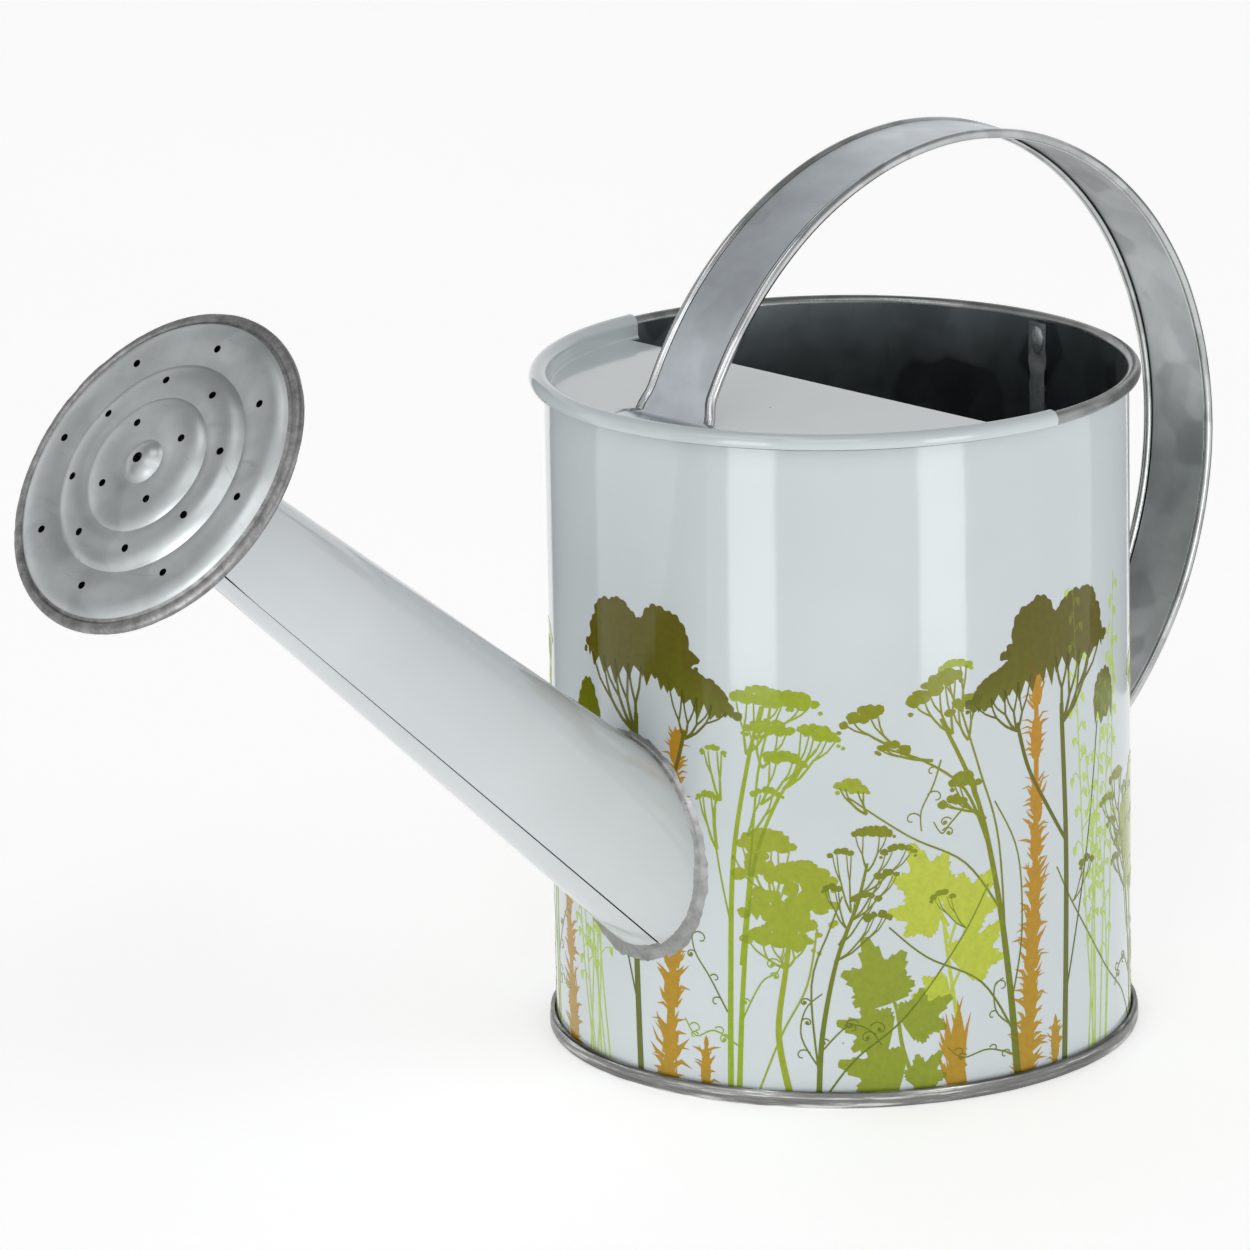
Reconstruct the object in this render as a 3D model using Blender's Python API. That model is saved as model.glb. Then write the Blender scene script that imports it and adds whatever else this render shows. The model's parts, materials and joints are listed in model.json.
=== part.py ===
"""A small sheet-metal watering can, modelled as its separate pieces.

Metres, +Z up. The spout points along -Y and the handle lies in the plane X = 0.
Each piece is drawn about the can's own axis, and centre_on_origin() then moves them all, so that
the origin is on the plane the can stands on, under the middle of the object's box.
"""

import math

import bmesh
import bpy
from mathutils import Matrix, Vector

# Sheet, clearances and facets
SHEET = 0.00045
GAP = 0.0003
ROUND_SEGMENTS = 48
ROSE_SEGMENTS = 40
SPOUT_SEGMENTS = 32
SPOUT_FIRST_CORNER = 180.0 / SPOUT_SEGMENTS

CORNER_ANGLE = math.radians(35)

# Can
WALL_RADIUS = 0.0700
RIM_HEIGHT = 0.1637
BEAD_RADIUS = 0.00165
RIM_WIRE_RADIUS = 0.0009
WALL_FOOT = 0.0008
BEAD_CURL_END = -120

# Base plate and its double seam
SEAM_RADIUS = 0.0718
SEAM_HEIGHT = 0.0039
SEAM_FACE_INNER = 0.0692
BASE_RECESS = 0.0026
BASE_PANEL_RADIUS = 0.0520
BASE_PANEL_RISE = 0.0010
BASE_FLAT_RADIUS = 0.0660
BASE_PANEL_STEP = 0.0012
BASE_EDGE_DROP = 0.0008
SEAM_CORNER = 0.0005
SEAM_LIP = 0.0003
SEAL_HEIGHT = 0.0018
SEAL_WIDTH = 0.0024

# Half-lid
LID_SHEET = 0.0004
LID_PANEL_TOP = 0.1590
LID_CHORD = 0.0035
LIP_END_ANGLE = -25
LID_BEND = 0.0005

# Seam up the back of the wall, filled with solder inside
LAP_HALF_ANGLE = 2.35
LAP_SOLDER_SHEET = 0.0004
SOLDER_BLOB_HEIGHT = 0.1570
SOLDER_BLOB_SIZE = (0.0019, 0.0007, 0.0034)
SOLDER_BLOB_ASIDE = 0.0004

# Spout: a tapered tube whose axis passes through the wall at SPOUT_ROOT_HEIGHT
SPOUT_TILT = math.radians(39.4)
SPOUT_ROOT_HEIGHT = 0.0601
SPOUT_ROOT_RADIUS = 0.01972
SPOUT_TAPER = 0.0475
WATER_HOLE_RADIUS = 0.0160
SPOUT_SOLDER_WIDTH = 0.0027
SPOUT_SOLDER_HEIGHT = 0.0019
# How far along the axis, either way from the wall, the tube and its solder are drawn before they are cut
SPOUT_ROOT_LENGTH = 0.045
SPOUT_SOLDER_LENGTH = 0.026
WATER_HOLE_CUTTER_LENGTH = 0.03

# Rose: its face plane is ROSE_REACH along the spout's axis from the wall
ROSE_REACH = 0.1846
ROSE_RADIUS = 0.0403
ROSE_SHEET = 0.00045
SPOUT_TIP_BACK = 0.0100
SLEEVE_TOP_BACK = 0.0090
SLEEVE_END_BACK = 0.0225
NECK_TOP_BACK = 0.0140
NECK_END_BACK = 0.0172
ROSE_SOLDER_HEIGHT = 0.0016
ROSE_SOLDER_FOOT = 0.0004
ROSE_HOLE_RADIUS = 0.00095
ROSE_CENTRE_HOLE_RADIUS = 0.0013
ROSE_HOLE_SIDES = 8
ROSE_HOLE_CUTTER_LENGTH = 0.010
# The face's boss and its three steps as (radius, height) from the centre out, and the fold at its edge
ROSE_BOSS = ((0.0, 0.0074), (0.0026, 0.0071), (0.0046, 0.0063), (0.0063, 0.0057))
ROSE_STEPS = (
    (0.0138, 0.0057),
    (0.0156, 0.0053),
    (0.0167, 0.0043),
    (0.0227, 0.0043),
    (0.0246, 0.0038),
    (0.0257, 0.0027),
    (0.0348, 0.0027),
    (0.0368, 0.0019),
    (0.0376, 0.0010),
)
ROSE_FOLD = (
    (0.0385, 0.0011),
    (0.0398, 0.0008),
    (ROSE_RADIUS, 0.0002),
    (ROSE_RADIUS, -0.0006),
    (0.0399, -0.0011),
    (0.0384, -0.0012),
    (0.0384, -0.0007),
    (0.0396, -0.0007),
    (0.0396, 0.0003),
    (0.0384, 0.0005),
)
# The funnel's flange, which the fold grips
FLANGE_RADIUS = 0.0392
FLANGE_SHEET = 0.0004
FUNNEL_MOUTH = 0.0368
FUNNEL_STEP = 0.0002
# Rings of holes: how many, ring radius, angle of the first hole in degrees
ROSE_HOLE_RINGS = ((4, 0.0111, 41.5), (8, 0.0214, 19.5), (8, 0.0307, -3.0))

# Handle: a strap with rolled edges on a slightly oval hoop
HOOP_CENTRE_Y = 0.0293
HOOP_CENTRE_Z = 0.1265
HOOP_SHORT = 0.0884
HOOP_LONG = 0.0906
HOOP_LEAN = math.radians(20.7)
HOOP_FRONT = math.radians(47.0)
HOOP_REAR = math.radians(-174.5)
HOOP_STEPS = 36
STRAP_WIDTH = 0.0226
EDGE_ROLL_RADIUS = 0.00118
WEB_RAISE = 0.00035
FOOT_HALF_WIDTH = 0.0140
FOOT_SHEET = 0.0006
FRONT_FOOT_REACH = 0.0660
REAR_FOOT_TOP = 0.0500
REAR_FOOT_BOTTOM = 0.0270
REAR_TRIM_TOP = 0.1000
FRONT_FOOT_LENGTH = 0.014
FRONT_TRIM_HALF_WIDTH = 0.03
FRONT_TRIM_DEPTHS = (-0.075, -0.035)
FRONT_TRIM_FOOT = 0.150
# How deep a foot's shape runs into its neighbour's clearance before it is trimmed
FOOT_OVERLAP = 0.0002
# Cutters reach this far above, below or beyond what they cut
CUTTER_TOP = 0.2
CUTTER_FOOT = -0.02
CUTTER_DEPTH = 0.02

GALVANISED = ((0.52, 0.54, 0.55), 0.38, 1.0)
ENAMEL = ((0.78, 0.80, 0.81), 0.22, 0.0)
SOLDER = ((0.42, 0.43, 0.44), 0.50, 1.0)
SEALANT = ((0.10, 0.11, 0.11), 0.60, 0.0)


def clear_scene():
    for obj in list(bpy.data.objects):
        bpy.data.objects.remove(obj, do_unlink=True)


def material(name, look):
    """A Principled material from (colour, roughness, metallic)."""
    colour, roughness, metallic = look
    made = bpy.data.materials.new(name)
    made.use_nodes = True
    shader = made.node_tree.nodes["Principled BSDF"]
    shader.inputs["Base Color"].default_value = (*colour, 1.0)
    shader.inputs["Roughness"].default_value = roughness
    shader.inputs["Metallic"].default_value = metallic
    made.diffuse_color = (*colour, 1.0)
    return made


def empty(name, parent=None, matrix=None):
    made = bpy.data.objects.new(name, None)
    bpy.context.scene.collection.objects.link(made)
    made.parent = parent
    if matrix is not None:
        made.matrix_local = matrix
    return made


def piece(name, shape, parent, look=None):
    """An object from a bmesh, its faces turned outwards. With no look it is a cutter."""
    bmesh.ops.recalc_face_normals(shape, faces=shape.faces)
    mesh = bpy.data.meshes.new(name)
    shape.to_mesh(mesh)
    shape.free()
    made = bpy.data.objects.new(name, mesh)
    bpy.context.scene.collection.objects.link(made)
    made.parent = parent
    if look is None:
        made.hide_render = True
        made.display_type = "WIRE"
        return made
    mesh.materials.append(material(name, look))
    mesh.shade_smooth()
    mesh.set_sharp_from_angle(angle=CORNER_ANGLE)
    return made


def boolean(target, operation, other):
    """Adds a Boolean modifier with the default EXACT solver."""
    step = target.modifiers.new(other.name, "BOOLEAN")
    step.operation = operation
    step.object = other


def arc(centre, radius, start, end, steps):
    """Points on an arc, angles in degrees."""
    points = []
    for i in range(steps + 1):
        angle = math.radians(start + (end - start) * i / steps)
        points.append((centre[0] + radius * math.cos(angle), centre[1] + radius * math.sin(angle)))
    return points


def turned(outline, segments, start=0.0, sweep=360.0):
    """A bmesh turned about Z from a closed outline of (radius, height) points."""
    shape = bmesh.new()
    whole = sweep >= 360.0
    count = segments if whole else segments + 1
    rings = []
    axis_points = {}
    for i in range(count):
        angle = math.radians(start + sweep * i / segments)
        ring = []
        for k, (radius, height) in enumerate(outline):
            if radius > 0.0:
                ring.append(shape.verts.new((radius * math.cos(angle), radius * math.sin(angle), height)))
                continue
            if k not in axis_points:
                axis_points[k] = shape.verts.new((0.0, 0.0, height))
            ring.append(axis_points[k])
        rings.append(ring)
    for i in range(segments):
        near, far = rings[i], rings[(i + 1) % count]
        for k in range(len(outline)):
            n = (k + 1) % len(outline)
            corners = list(dict.fromkeys((near[k], far[k], far[n], near[n])))
            if len(corners) > 2:
                shape.faces.new(corners)
    if not whole:
        shape.faces.new(rings[0])
        shape.faces.new(rings[-1])
    return shape


def box(low, high):
    shape = bmesh.new()
    bmesh.ops.create_cube(shape, size=1.0)
    size = [b - a for a, b in zip(low, high)]
    middle = [(a + b) / 2 for a, b in zip(low, high)]
    bmesh.ops.scale(shape, vec=size, verts=shape.verts)
    bmesh.ops.translate(shape, vec=middle, verts=shape.verts)
    return shape


def bead_centre():
    """Where the rim's curl turns, as (radius, height): the wall's inner face runs on round it."""
    return WALL_RADIUS - SHEET + BEAD_RADIUS, RIM_HEIGHT - BEAD_RADIUS


def spout_matrix(distance):
    """A frame on the spout's axis: local Z points out along it, local Y up, local X to +X."""
    slant, rise = math.cos(SPOUT_TILT), math.sin(SPOUT_TILT)
    turn = Matrix(((1, 0, 0), (0, rise, -slant), (0, slant, rise))).to_4x4()
    root = Vector((0, -WALL_RADIUS, SPOUT_ROOT_HEIGHT))
    return Matrix.Translation(root + distance * Vector((0, -slant, rise))) @ turn


def spout_radius(along):
    """The spout's outer radius at a distance along its axis from the wall."""
    return SPOUT_ROOT_RADIUS - SPOUT_TAPER * along


def can_cylinder(name, radius, parent, top=CUTTER_TOP):
    outline = [(0.0, top), (radius, top), (radius, CUTTER_FOOT), (0.0, CUTTER_FOOT)]
    return piece(name, turned(outline, ROUND_SEGMENTS), parent)


def make_body_wall(root, spout):
    """The rolled wall, with its top edge curled outwards and the water hole at the spout."""
    centre = bead_centre()
    inner = WALL_RADIUS - SHEET
    outline = [(WALL_RADIUS, WALL_FOOT), (inner, WALL_FOOT)]
    outline += arc(centre, BEAD_RADIUS, 180, BEAD_CURL_END, 8)
    outline += arc(centre, BEAD_RADIUS - SHEET, BEAD_CURL_END, 180, 8)
    wall = piece("body_wall", turned(outline, ROUND_SEGMENTS), root, ENAMEL)
    reach = WATER_HOLE_CUTTER_LENGTH
    hole = [(0.0, -reach), (WATER_HOLE_RADIUS, -reach), (WATER_HOLE_RADIUS, reach), (0.0, reach)]
    cutter = piece("water_hole_cutter", turned(hole, SPOUT_SEGMENTS, SPOUT_FIRST_CORNER), spout)
    boolean(wall, "DIFFERENCE", cutter)
    return wall


def make_rim_wire(root):
    outline = arc(bead_centre(), RIM_WIRE_RADIUS, 0, 300, 5)
    return piece("rim_wire", turned(outline, ROUND_SEGMENTS), root, GALVANISED)


def make_base_plate(root):
    """The bottom plate: a raised panel, a wall down to the seam, and the seam folded up outside."""
    fold_inner = WALL_RADIUS + GAP
    channel = WALL_FOOT - GAP
    top = BASE_RECESS + SHEET
    outline = [
        (0.0, BASE_RECESS + BASE_PANEL_RISE),
        (BASE_PANEL_RADIUS, BASE_RECESS + BASE_PANEL_RISE),
        (BASE_PANEL_RADIUS + BASE_PANEL_STEP, BASE_RECESS),
        (BASE_FLAT_RADIUS, BASE_RECESS),
        (SEAM_FACE_INNER - SHEET, BASE_RECESS - BASE_EDGE_DROP),
        (SEAM_FACE_INNER - SHEET, SEAM_CORNER),
        (SEAM_FACE_INNER, 0.0),
        (SEAM_RADIUS - SEAM_CORNER, 0.0),
        (SEAM_RADIUS, SEAM_CORNER),
        (SEAM_RADIUS, SEAM_HEIGHT - SEAM_CORNER),
        (SEAM_RADIUS - SEAM_CORNER, SEAM_HEIGHT),
        (fold_inner + SEAM_LIP, SEAM_HEIGHT),
        (fold_inner, SEAM_HEIGHT - SEAM_LIP),
        (fold_inner, channel),
        (SEAM_FACE_INNER, channel),
        (SEAM_FACE_INNER, top),
        (BASE_PANEL_RADIUS + BASE_PANEL_STEP, top),
        (BASE_PANEL_RADIUS, top + BASE_PANEL_RISE),
        (0.0, top + BASE_PANEL_RISE),
    ]
    return piece("base_plate", turned(outline, ROUND_SEGMENTS), root, GALVANISED)


def make_base_seal(root):
    """The bead of sealing compound in the corner between wall and base plate."""
    low = BASE_RECESS + SHEET + GAP
    outer = WALL_RADIUS - SHEET - GAP
    outline = [(outer, low), (outer, low + SEAL_HEIGHT), (outer - SEAL_WIDTH, low)]
    return piece("base_seal", turned(outline, ROUND_SEGMENTS), root, SEALANT)


def make_half_lid(root):
    """The half-lid: a sunk panel, a wall up beside the can's, and a lip wrapped over the rim."""
    centre = bead_centre()
    lip_inner = BEAD_RADIUS + GAP
    lip_outer = lip_inner + LID_SHEET
    wall_outer = centre[0] - lip_inner
    wall_inner = centre[0] - lip_outer
    bend = LID_BEND
    outline = [(0.0, LID_PANEL_TOP - LID_SHEET), (wall_outer - bend, LID_PANEL_TOP - LID_SHEET)]
    outline += [(wall_outer, LID_PANEL_TOP - LID_SHEET + bend)]
    outline += arc(centre, lip_inner, 180, LIP_END_ANGLE, 7)
    outline += arc(centre, lip_outer, LIP_END_ANGLE, 180, 7)
    outline += [(wall_inner, LID_PANEL_TOP + bend), (wall_inner - bend, LID_PANEL_TOP), (0.0, LID_PANEL_TOP)]
    lid = piece("half_lid", turned(outline, ROUND_SEGMENTS // 2, 180.0, 180.0), root, ENAMEL)
    trim = box(
        (-wall_inner + bend, -LID_CHORD, LID_PANEL_TOP - 3 * LID_SHEET),
        (wall_inner - bend, LID_CHORD, LID_PANEL_TOP + 3 * LID_SHEET),
    )
    boolean(lid, "DIFFERENCE", piece("lid_chord_cutter", trim, root))
    return lid


def make_side_seam_solder(root):
    """Solder down the inside of the wall's lap seam, with the blob where it was started."""
    outer = WALL_RADIUS - SHEET - GAP
    inner = outer - LAP_SOLDER_SHEET
    low = BASE_RECESS + SHEET + GAP + SEAL_HEIGHT + GAP
    high = RIM_HEIGHT - BEAD_RADIUS - SHEET
    outline = [(outer, low), (outer, high), (inner, high), (inner, low)]
    seam = turned(outline, 2, 90.0 - LAP_HALF_ANGLE, 2 * LAP_HALF_ANGLE)
    seam = piece("side_seam_solder", seam, root, SOLDER)
    blob = bmesh.new()
    bmesh.ops.create_icosphere(blob, subdivisions=2, radius=1.0)
    bmesh.ops.scale(blob, vec=SOLDER_BLOB_SIZE, verts=blob.verts)
    bmesh.ops.translate(blob, vec=(SOLDER_BLOB_ASIDE, inner, SOLDER_BLOB_HEIGHT), verts=blob.verts)
    blob = piece("solder_blob_shape", blob, root)
    boolean(seam, "UNION", blob)
    boolean(seam, "DIFFERENCE", make_outside_of_can(root, outer))
    return seam


def make_outside_of_can(root, radius):
    """A thick ring that trims a piece back to this radius."""
    beyond = radius + CUTTER_DEPTH
    outline = [(radius, CUTTER_TOP), (beyond, CUTTER_TOP), (beyond, CUTTER_FOOT), (radius, CUTTER_FOOT)]
    return piece("outside_cutter", turned(outline, ROUND_SEGMENTS), root)


def make_spout_tube(root, spout):
    """The tapered tube, its root shaped to the can's wall."""
    low, high = -SPOUT_ROOT_LENGTH, ROSE_REACH - SPOUT_TIP_BACK
    outline = [
        (spout_radius(high), high),
        (spout_radius(low), low),
        (spout_radius(low) - SHEET, low),
        (spout_radius(high) - SHEET, high),
    ]
    tube = turned(outline, SPOUT_SEGMENTS, SPOUT_FIRST_CORNER)
    tube = piece("spout_tube", tube, spout, ENAMEL)
    boolean(tube, "DIFFERENCE", can_cylinder("spout_root_cutter", WALL_RADIUS + GAP, root))
    return tube


def make_spout_solder(root, spout):
    """The solder run round the spout's root: a collar about the tube, as thick as the fillet."""
    low, high = -SPOUT_SOLDER_LENGTH, SPOUT_SOLDER_LENGTH
    inner_gap = GAP
    outer_gap = GAP + SPOUT_SOLDER_WIDTH
    outline = [
        (spout_radius(high) + outer_gap, high),
        (spout_radius(low) + outer_gap, low),
        (spout_radius(low) + inner_gap, low),
        (spout_radius(high) + inner_gap, high),
    ]
    solder = turned(outline, SPOUT_SEGMENTS, SPOUT_FIRST_CORNER)
    solder = piece("spout_solder", solder, spout, SOLDER)
    boolean(solder, "DIFFERENCE", can_cylinder("solder_back_cutter", WALL_RADIUS + GAP, root))
    face = WALL_RADIUS + GAP + SPOUT_SOLDER_HEIGHT
    boolean(solder, "INTERSECT", can_cylinder("solder_face_shape", face, root))
    return solder


def rose_face_outline():
    """The stepped face and, at its edge, the fold that grips the back's flange."""
    top = ROSE_BOSS + ROSE_STEPS
    draw_in = 0.0001
    under = [(max(radius - draw_in, 0.0), height - ROSE_SHEET) for radius, height in reversed(top)]
    return [*top, *ROSE_FOLD, *under]


def make_rose_face(rose):
    face = piece("rose_face", turned(rose_face_outline(), ROSE_SEGMENTS), rose, GALVANISED)
    holes = bmesh.new()
    places = [(0.0, 0.0, ROSE_CENTRE_HOLE_RADIUS)]
    for count, ring, first in ROSE_HOLE_RINGS:
        for i in range(count):
            angle = math.radians(first + 360 * i / count)
            places.append((ring * math.cos(angle), ring * math.sin(angle), ROSE_HOLE_RADIUS))
    for x, y, radius in places:
        bmesh.ops.create_cone(
            holes,
            cap_ends=True,
            segments=ROSE_HOLE_SIDES,
            radius1=radius,
            radius2=radius,
            depth=ROSE_HOLE_CUTTER_LENGTH,
            matrix=Matrix.Translation((x, y, ROSE_HOLE_CUTTER_LENGTH / 2)),
        )
    boolean(face, "DIFFERENCE", piece("rose_hole_cutter", holes, rose))
    return face


def sleeve_inner(back):
    """The sleeve's bore follows the spout's taper, with running clearance."""
    return spout_radius(ROSE_REACH - back) + GAP


def neck_inner():
    return sleeve_inner(NECK_END_BACK) + SHEET + GAP


def make_rose_back(rose):
    """The funnel behind the face, from its flange down to a short neck round the sleeve."""
    inner = neck_inner()
    outer = inner + SHEET
    outline = [
        (FLANGE_RADIUS, 0.0),
        (FLANGE_RADIUS, -FLANGE_SHEET),
        (FUNNEL_MOUTH + FLANGE_SHEET, -FLANGE_SHEET - FUNNEL_STEP),
        (outer, -NECK_TOP_BACK),
        (outer, -NECK_END_BACK),
        (inner, -NECK_END_BACK),
        (inner, -NECK_TOP_BACK + FUNNEL_STEP),
        (FUNNEL_MOUTH, 0.0),
    ]
    return piece("rose_back", turned(outline, ROSE_SEGMENTS), rose, GALVANISED)


def make_rose_sleeve(rose):
    """The socket that pushes over the spout's tip."""
    outline = [
        (sleeve_inner(SLEEVE_TOP_BACK) + SHEET, -SLEEVE_TOP_BACK),
        (sleeve_inner(SLEEVE_END_BACK) + SHEET, -SLEEVE_END_BACK),
        (sleeve_inner(SLEEVE_END_BACK), -SLEEVE_END_BACK),
        (sleeve_inner(SLEEVE_TOP_BACK), -SLEEVE_TOP_BACK),
    ]
    return piece("rose_sleeve", turned(outline, ROSE_SEGMENTS), rose, GALVANISED)


def make_rose_solder(rose):
    """The solder fillet that joins the sleeve to the neck's end."""
    high = -NECK_END_BACK - GAP
    low = high - ROSE_SOLDER_HEIGHT
    outline = [
        (neck_inner() + SHEET, high),
        (sleeve_inner(-low) + SHEET + GAP + ROSE_SOLDER_FOOT, low),
        (sleeve_inner(-low) + SHEET + GAP, low),
        (sleeve_inner(-high) + SHEET + GAP, high),
    ]
    return piece("rose_solder", turned(outline, ROSE_SEGMENTS), rose, SOLDER)


def strap_section():
    """The strap's section as (across, outwards) points: a flat web with an open roll at each edge."""
    roll_x = STRAP_WIDTH / 2 - EDGE_ROLL_RADIUS
    web_top = WEB_RAISE + SHEET / 2
    web_low = WEB_RAISE - SHEET / 2
    core = EDGE_ROLL_RADIUS - SHEET
    top_angle = 180 - math.degrees(math.asin(web_top / EDGE_ROLL_RADIUS))
    low_angle = 180 - math.degrees(math.asin(web_low / core))
    roll_end = -168
    right = arc((roll_x, 0.0), EDGE_ROLL_RADIUS, top_angle, roll_end, 8)
    right += arc((roll_x, 0.0), core, roll_end, low_angle, 6)
    left = [(-across, out) for across, out in reversed(right)]
    return right + left


def hoop_point(angle):
    """A point (y, z) on the hoop and the outward direction there."""
    short_y, short_z = -math.sin(HOOP_LEAN), math.cos(HOOP_LEAN)
    long_y, long_z = -math.cos(HOOP_LEAN), -math.sin(HOOP_LEAN)
    a, b = HOOP_SHORT * math.cos(angle), HOOP_LONG * math.sin(angle)
    point = Vector((HOOP_CENTRE_Y + a * short_y + b * long_y, HOOP_CENTRE_Z + a * short_z + b * long_z))
    c, d = math.cos(angle) / HOOP_SHORT, math.sin(angle) / HOOP_LONG
    outward = Vector((c * short_y + d * long_y, c * short_z + d * long_z)).normalized()
    return point, outward


def make_handle_strap(root):
    """The strap bent round the hoop, with a flat foot on the lid and one on the back of the wall."""
    section = strap_section()
    shape = bmesh.new()
    rings = []
    for i in range(HOOP_STEPS + 1):
        point, outward = hoop_point(HOOP_FRONT + (HOOP_REAR - HOOP_FRONT) * i / HOOP_STEPS)
        ring = []
        for across, out in section:
            place = point + outward * out
            ring.append(shape.verts.new((across, place.x, place.y)))
        rings.append(ring)
    for near, far in zip(rings, rings[1:]):
        for k in range(len(section)):
            n = (k + 1) % len(section)
            shape.faces.new((near[k], far[k], far[n], near[n]))
    shape.faces.new(rings[0])
    shape.faces.new(rings[-1])
    strap = piece("handle_strap", shape, root, GALVANISED)
    boolean(strap, "UNION", make_front_foot(root))
    boolean(strap, "UNION", make_rear_foot(root))
    under = box(
        (-FRONT_TRIM_HALF_WIDTH, FRONT_TRIM_DEPTHS[0], FRONT_TRIM_FOOT),
        (FRONT_TRIM_HALF_WIDTH, FRONT_TRIM_DEPTHS[1], LID_PANEL_TOP + GAP),
    )
    boolean(strap, "DIFFERENCE", piece("strap_front_cutter", under, root))
    boolean(strap, "DIFFERENCE", can_cylinder("strap_rear_cutter", WALL_RADIUS + GAP, root, REAR_TRIM_TOP))
    return strap


def make_front_foot(root):
    low = LID_PANEL_TOP + GAP - FOOT_OVERLAP
    foot = box(
        (-FOOT_HALF_WIDTH, -FRONT_FOOT_REACH, low),
        (FOOT_HALF_WIDTH, -FRONT_FOOT_REACH + FRONT_FOOT_LENGTH, LID_PANEL_TOP + GAP + FOOT_SHEET),
    )
    return piece("front_foot_shape", foot, root)


def make_rear_foot(root):
    inner = WALL_RADIUS + GAP - FOOT_OVERLAP
    outer = WALL_RADIUS + GAP + FOOT_SHEET
    low, high = REAR_FOOT_BOTTOM, REAR_FOOT_TOP
    outline = [(outer, low), (outer, high), (inner, high), (inner, low)]
    facet = 360.0 / ROUND_SEGMENTS
    foot = turned(outline, 4, 90.0 - 2 * facet, 4 * facet)
    return piece("rear_foot_shape", foot, root)


def centre_on_origin(root, pieces):
    """Moves the whole can along Y, so that the middle of its box is over the origin."""
    bpy.context.view_layer.update()
    graph = bpy.context.evaluated_depsgraph_get()
    depths = []
    for made in pieces:
        evaluated = made.evaluated_get(graph)
        mesh = evaluated.to_mesh()
        depths += [(evaluated.matrix_world @ vertex.co).y for vertex in mesh.vertices]
        evaluated.to_mesh_clear()
    root.location.y = -(min(depths) + max(depths)) / 2
    bpy.context.view_layer.update()


def main():
    clear_scene()
    root = empty("can_axis")
    spout = empty("spout_axis", root, spout_matrix(0.0))
    rose = empty("rose_slide_axis", root, spout_matrix(ROSE_REACH))
    pieces = [
        make_body_wall(root, spout),
        make_rim_wire(root),
        make_base_plate(root),
        make_base_seal(root),
        make_half_lid(root),
        make_side_seam_solder(root),
        make_spout_tube(root, spout),
        make_spout_solder(root, spout),
        make_rose_face(rose),
        make_rose_back(rose),
        make_rose_sleeve(rose),
        make_rose_solder(rose),
        make_handle_strap(root),
    ]
    centre_on_origin(root, pieces)


main()
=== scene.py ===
"""Looks of a small sheet-metal watering can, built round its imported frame.

Metres, +Z up, the spout along -Y and the handle in the plane X = 0. Pieces of the can are drawn about
the can's own axis and then moved to it; pieces of the rose are drawn about the spout's axis, with
the rose's face plane at height 0. The print is drawn flat, in millimetres, and laid on the wall.
"""

import json
import math
import random

import bmesh
import bpy
from mathutils import Matrix, Vector, geometry, noise


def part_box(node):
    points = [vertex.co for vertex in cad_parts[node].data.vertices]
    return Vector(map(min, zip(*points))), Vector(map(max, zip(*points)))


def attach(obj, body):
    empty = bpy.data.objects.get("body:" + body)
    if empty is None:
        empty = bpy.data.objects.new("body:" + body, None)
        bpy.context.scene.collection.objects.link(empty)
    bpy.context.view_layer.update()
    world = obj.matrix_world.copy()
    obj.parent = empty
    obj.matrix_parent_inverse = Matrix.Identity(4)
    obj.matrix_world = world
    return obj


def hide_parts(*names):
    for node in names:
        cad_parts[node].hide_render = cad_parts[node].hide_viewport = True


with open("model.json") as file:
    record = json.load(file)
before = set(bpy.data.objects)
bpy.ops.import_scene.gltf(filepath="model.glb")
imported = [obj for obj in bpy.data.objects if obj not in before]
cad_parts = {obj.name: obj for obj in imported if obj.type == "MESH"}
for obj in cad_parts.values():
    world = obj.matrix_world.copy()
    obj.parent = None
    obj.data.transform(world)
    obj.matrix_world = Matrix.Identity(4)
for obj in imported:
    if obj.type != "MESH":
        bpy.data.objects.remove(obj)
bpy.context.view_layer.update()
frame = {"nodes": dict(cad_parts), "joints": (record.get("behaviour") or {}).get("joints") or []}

# Places and sizes that the frame gives
base_low, base_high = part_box("base_plate")
wall_low, wall_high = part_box("body_wall")
lid_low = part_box("half_lid")[0]
rose_low, rose_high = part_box("rose_face")
strap_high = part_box("handle_strap")[1]
AXIS_Y = (base_low.y + base_high.y) / 2
SEAM_RADIUS = base_high.x
RIM_HEIGHT = wall_high.z
WALL_FOOT = wall_low.z
SPOUT_AXIS = Vector(frame["joints"][0]["axis"]).normalized()

# Sheet and turning
SHEET = 0.00045
FINE = 192
CORNER_ANGLE = 35
MM = 0.001

# Can
WALL_RADIUS = SEAM_RADIUS - 0.0018
BEAD_RADIUS = 0.00165
BEAD_CURL_END = -120
LAP_HALF_ANGLE = 2.35
LAP_BLEND_ANGLE = 9.0
SEAM_HEIGHT = 0.0039
LID_SHEET = 0.0004
LID_PANEL_TOP = lid_low.z + LID_SHEET
LID_CHORD = 0.0035
LIP_GAP = 0.0003
LIP_END_ANGLE = -25
SEAM_BLOB_SIZE = (0.0019, 0.0007, 0.0034)
SEAM_BLOB_HEIGHT = 0.1570

# Spout
ROSE_REACH = 0.1846
SPOUT_ROOT_RADIUS = 0.01972
SPOUT_TAPER = 0.0475
SPOUT_TIP_BACK = 0.0100
SPOUT_LAP_ANGLE = -62.0
SPOUT_GROOVE_ANGLE = 2.2
WATER_HOLE_RADIUS = 0.0160
FILLET_WIDTH = 0.0021
FILLET_HEIGHT = 0.0017
ROSE_FACE_SHIFT = 0.0002
ROSE_HOLE_RADIUS = 0.00095
ROSE_CENTRE_HOLE_RADIUS = 0.0013
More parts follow.
